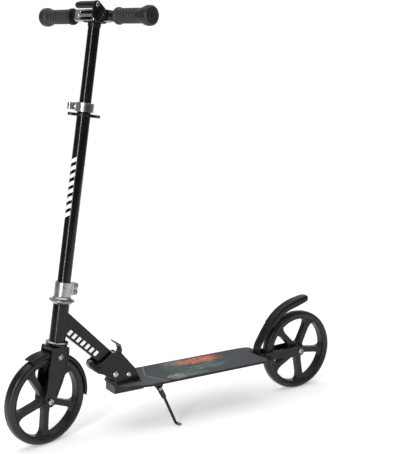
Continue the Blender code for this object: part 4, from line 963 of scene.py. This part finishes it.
def channel(half, drop, thick=0.0020):
    """Section of the brake fender as (Y, depth) points, from its left edge round to it again."""
    shoulder = min(0.0075, half * 0.55, max(drop * 0.75, 0.0015))
    outer = [(-half, drop)] + arc((-half + shoulder, shoulder), shoulder, 180, 270, 8)
    outer += arc((half - shoulder, shoulder), shoulder, 270, 360, 8) + [(half, drop)]
    deep = min(thick, drop * 0.6)
    small = max(shoulder - deep, 0.0003)
    inside = half - deep
    inner = [(inside, drop)] + arc((inside - small, deep + small), small, 360, 270, 8)
    inner += arc((-inside + small, deep + small), small, 270, 180, 8) + [(-inside, drop)]
    return outer + [(y, min(depth, drop)) for y, depth in inner]


def build_stand():
    high = DECK_TOP - 0.0030 - GAP
    flange = high - 0.0028
    x, y, z = spot("stand_swing") - DECK.translation
    parts = [block((-0.1060, y - 0.0040, flange), (-0.0760, y + 0.0140, high), DECK, 0.0006)]
    tongue = ([(-0.1050, flange + 0.001)] + arc((x, z), 0.0062, 190, 350, 20) +
              [(-0.0790, flange + 0.001)])
    parts.append(plate(tongue, y - 0.0025, y + 0.0025, "XZ", DECK, 0.0005))
    dress("stand_bracket", parts, "deck", "black_paint")
    through_bolt("stand_pin", STAND @ ALONG_Y, 0.0025, 0.0042, 0.0066, 0.0018, "deck", "steel")
    foot = Vector((-0.0507 - x, -0.0640 - y, 0.0034 - z))
    toe = Vector((-0.0430 - x, -0.0735 - y, 0.0032 - z))
    knee = Vector((0.0130, -0.0003, -0.0240))
    shin = (foot - knee).normalized()
    path = [knee * -0.13, knee * -0.05, knee * 0.5, knee, knee + shin * 0.002,
            foot - shin * 0.012, foot - shin * 0.003, foot + (toe - foot) * 0.35, toe]
    radii = [0.0040, 0.0058, 0.0062, 0.0055, 0.0033, 0.0033, 0.0034, 0.0034, 0.0028]
    rod = sweep(path, radii, STAND)
    cutter = tube(0, 0.0115, -0.0028, 0.0028, STAND @ ALONG_Y, 0.0001, 48)
    dress("side_stand", [without(rod, cutter)], "stand", "black_paint")


# ---------------------------------------------------------------- painted marks
def build_marks():
    """White slanted bars on the column and on both sides of the neck: a generic decoration."""
    bars = []
    for index in range(8):
        height = 0.3960 + 0.0165 * index
        rings = []
        for step in range(13):
            share = step / 12
            angle = math.radians(158 + 58 * share)
            slant = 0.0080 * share
            radii = (COLUMN_R + 0.00005, COLUMN_R + 0.00020)
            rings.append([(r * math.cos(angle), r * math.sin(angle), height + slant + rise)
                          for r, rise in ((radii[0], 0), (radii[1], 0), (radii[1], 0.0088),
                                          (radii[0], 0.0088))])
        bars.append(from_grid(rings, True, False, STEER))
    piece("column_marks", bars, "steering", "mark_white")
    bars = []
    start, along = Vector((-0.1130, 0.1085)), Vector((0.0710, -0.0652)) / 7
    up = Vector((0.0096, 0.0078))
    for index in range(7):
        base = start + along * index
        slab = [base, base + along * 0.56, base + along * 0.56 + up, base + up]
        for low, high in ((-NECK_HALF - 0.00015, -NECK_HALF + 0.0003),
                          (NECK_HALF - 0.0003, NECK_HALF + 0.00015)):
            bars.append(plate([tuple(point) for point in slab], low, high, "XZ", FOLD, 0.0001))
    piece("neck_marks", bars, "front_frame", "mark_white")


# ---------------------------------------------------------------- camera, floor and light
FLOOR_CENTRE, FLOOR_R = (0.3, 0.5), 2.6
CAMERA_AT = (-1.0838, -1.7599, 0.7987)
YAW, PITCH = math.radians(31.608), math.radians(9.577)    # to the right of +Y, and down
LENS, SENSOR = 72.2855, 36.0                              # mm
SHIFT = (0.058612, -0.003150)                             # shares of the longer side
AHEAD = Vector((math.sin(YAW) * math.cos(PITCH), math.cos(YAW) * math.cos(PITCH), -math.sin(PITCH)))


def area_light(name, location, aim, size, power):
    data = bpy.data.lights.new(name, "AREA")
    data.shape = "RECTANGLE"
    data.size, data.size_y = size
    data.energy = power
    lamp = linked(name, data)
    lamp.location = location
    lamp.rotation_euler = (Vector(aim) - Vector(location)).to_track_quat("-Z", "Y").to_euler()


def build_floor():
    """A pale disc that glows a little, more so towards its rim, so that it fades into the world."""
    mesh = bpy.data.meshes.new("floor")
    rim = [(x, y, 0.0) for x, y in circle(FLOOR_CENTRE, FLOOR_R, 96)]
    mesh.from_pydata(rim, [], [tuple(range(len(rim)))])
    floor = linked("floor", mesh)
    made, tree, shader = shader_of("floor")
    place = add_node(tree, "ShaderNodeTexCoord", {}).outputs["Object"]
    tone = blend(tree, noise(tree, place, 3.0), (0.93, 0.93, 0.93, 1), (0.95, 0.95, 0.95, 1))
    tree.links.new(tone, shader.inputs["Base Color"])
    shader.inputs["Roughness"].default_value = 0.9
    shader.inputs["Specular IOR Level"].default_value = 0.1
    shader.inputs["Emission Color"].default_value = (1, 1, 1, 1)
    reach = add_node(tree, "ShaderNodeVectorMath", {0: place}, operation="LENGTH").outputs["Value"]
    tree.links.new(remap(tree, reach, 0.8, 2.2, 0.36, 0.60), shader.inputs["Emission Strength"])
    mesh.materials.append(made)


def build_world():
    """White behind the scooter, as the camera stands, and dim grey at the other sides."""
    world = bpy.data.worlds.new("studio")
    bpy.context.scene.world = world
    world.use_nodes = True
    tree = world.node_tree
    direction = add_node(tree, "ShaderNodeTexCoord", {}).outputs["Generated"]
    facing = add_node(tree, "ShaderNodeVectorMath", {0: direction, 1: tuple(AHEAD)},
                      operation="DOT_PRODUCT").outputs["Value"]
    far_wall = remap(tree, facing, 0.70, 0.90, 0.0, 0.76)
    sides = remap(tree, facing, -0.45, 0.35, 0.09, 0.27)
    tree.links.new(math_node(tree, "ADD", far_wall, sides), tree.nodes["Background"].inputs["Strength"])
    tree.nodes["Background"].inputs["Color"].default_value = (1, 1, 1, 1)


def build_lights():
    """A tall narrow lamp for the bright line down the column, and a wide soft one overhead."""
    area_light("strip", (-2.0, -1.27, 0.95), (-0.2, 0, 0.5), (0.12, 1.8), 34.0)
    area_light("top", (0.3, 0.3, 3.5), (0.3, 0.3, 0.0), (5.0, 5.0), 108.0)


def build_camera():
    data = bpy.data.cameras.new("camera")
    data.sensor_width, data.lens = SENSOR, LENS
    data.shift_x, data.shift_y = SHIFT
    camera = linked("camera", data)
    camera.location = CAMERA_AT
    camera.rotation_euler = AHEAD.to_track_quat("-Z", "Y").to_euler()
    bpy.context.scene.camera = camera
    bpy.context.scene.view_settings.view_transform = "Standard"


build_wheel("front", FRONT_WHEEL, FRONT_SPOKE)
build_wheel("rear", REAR_WHEEL, REAR_SPOKE)
build_fork()
build_column()
build_mast()
build_tee()
build_handle("left", -1, LEFT_BAR, "black_paint")
build_handle("right", 1, RIGHT_BAR, "chrome")
build_head()
build_neck()
build_deck()
build_bracket()
build_rear_fork()
build_brake()
build_stand()
build_marks()
build_floor()
build_world()
build_lights()
build_camera()
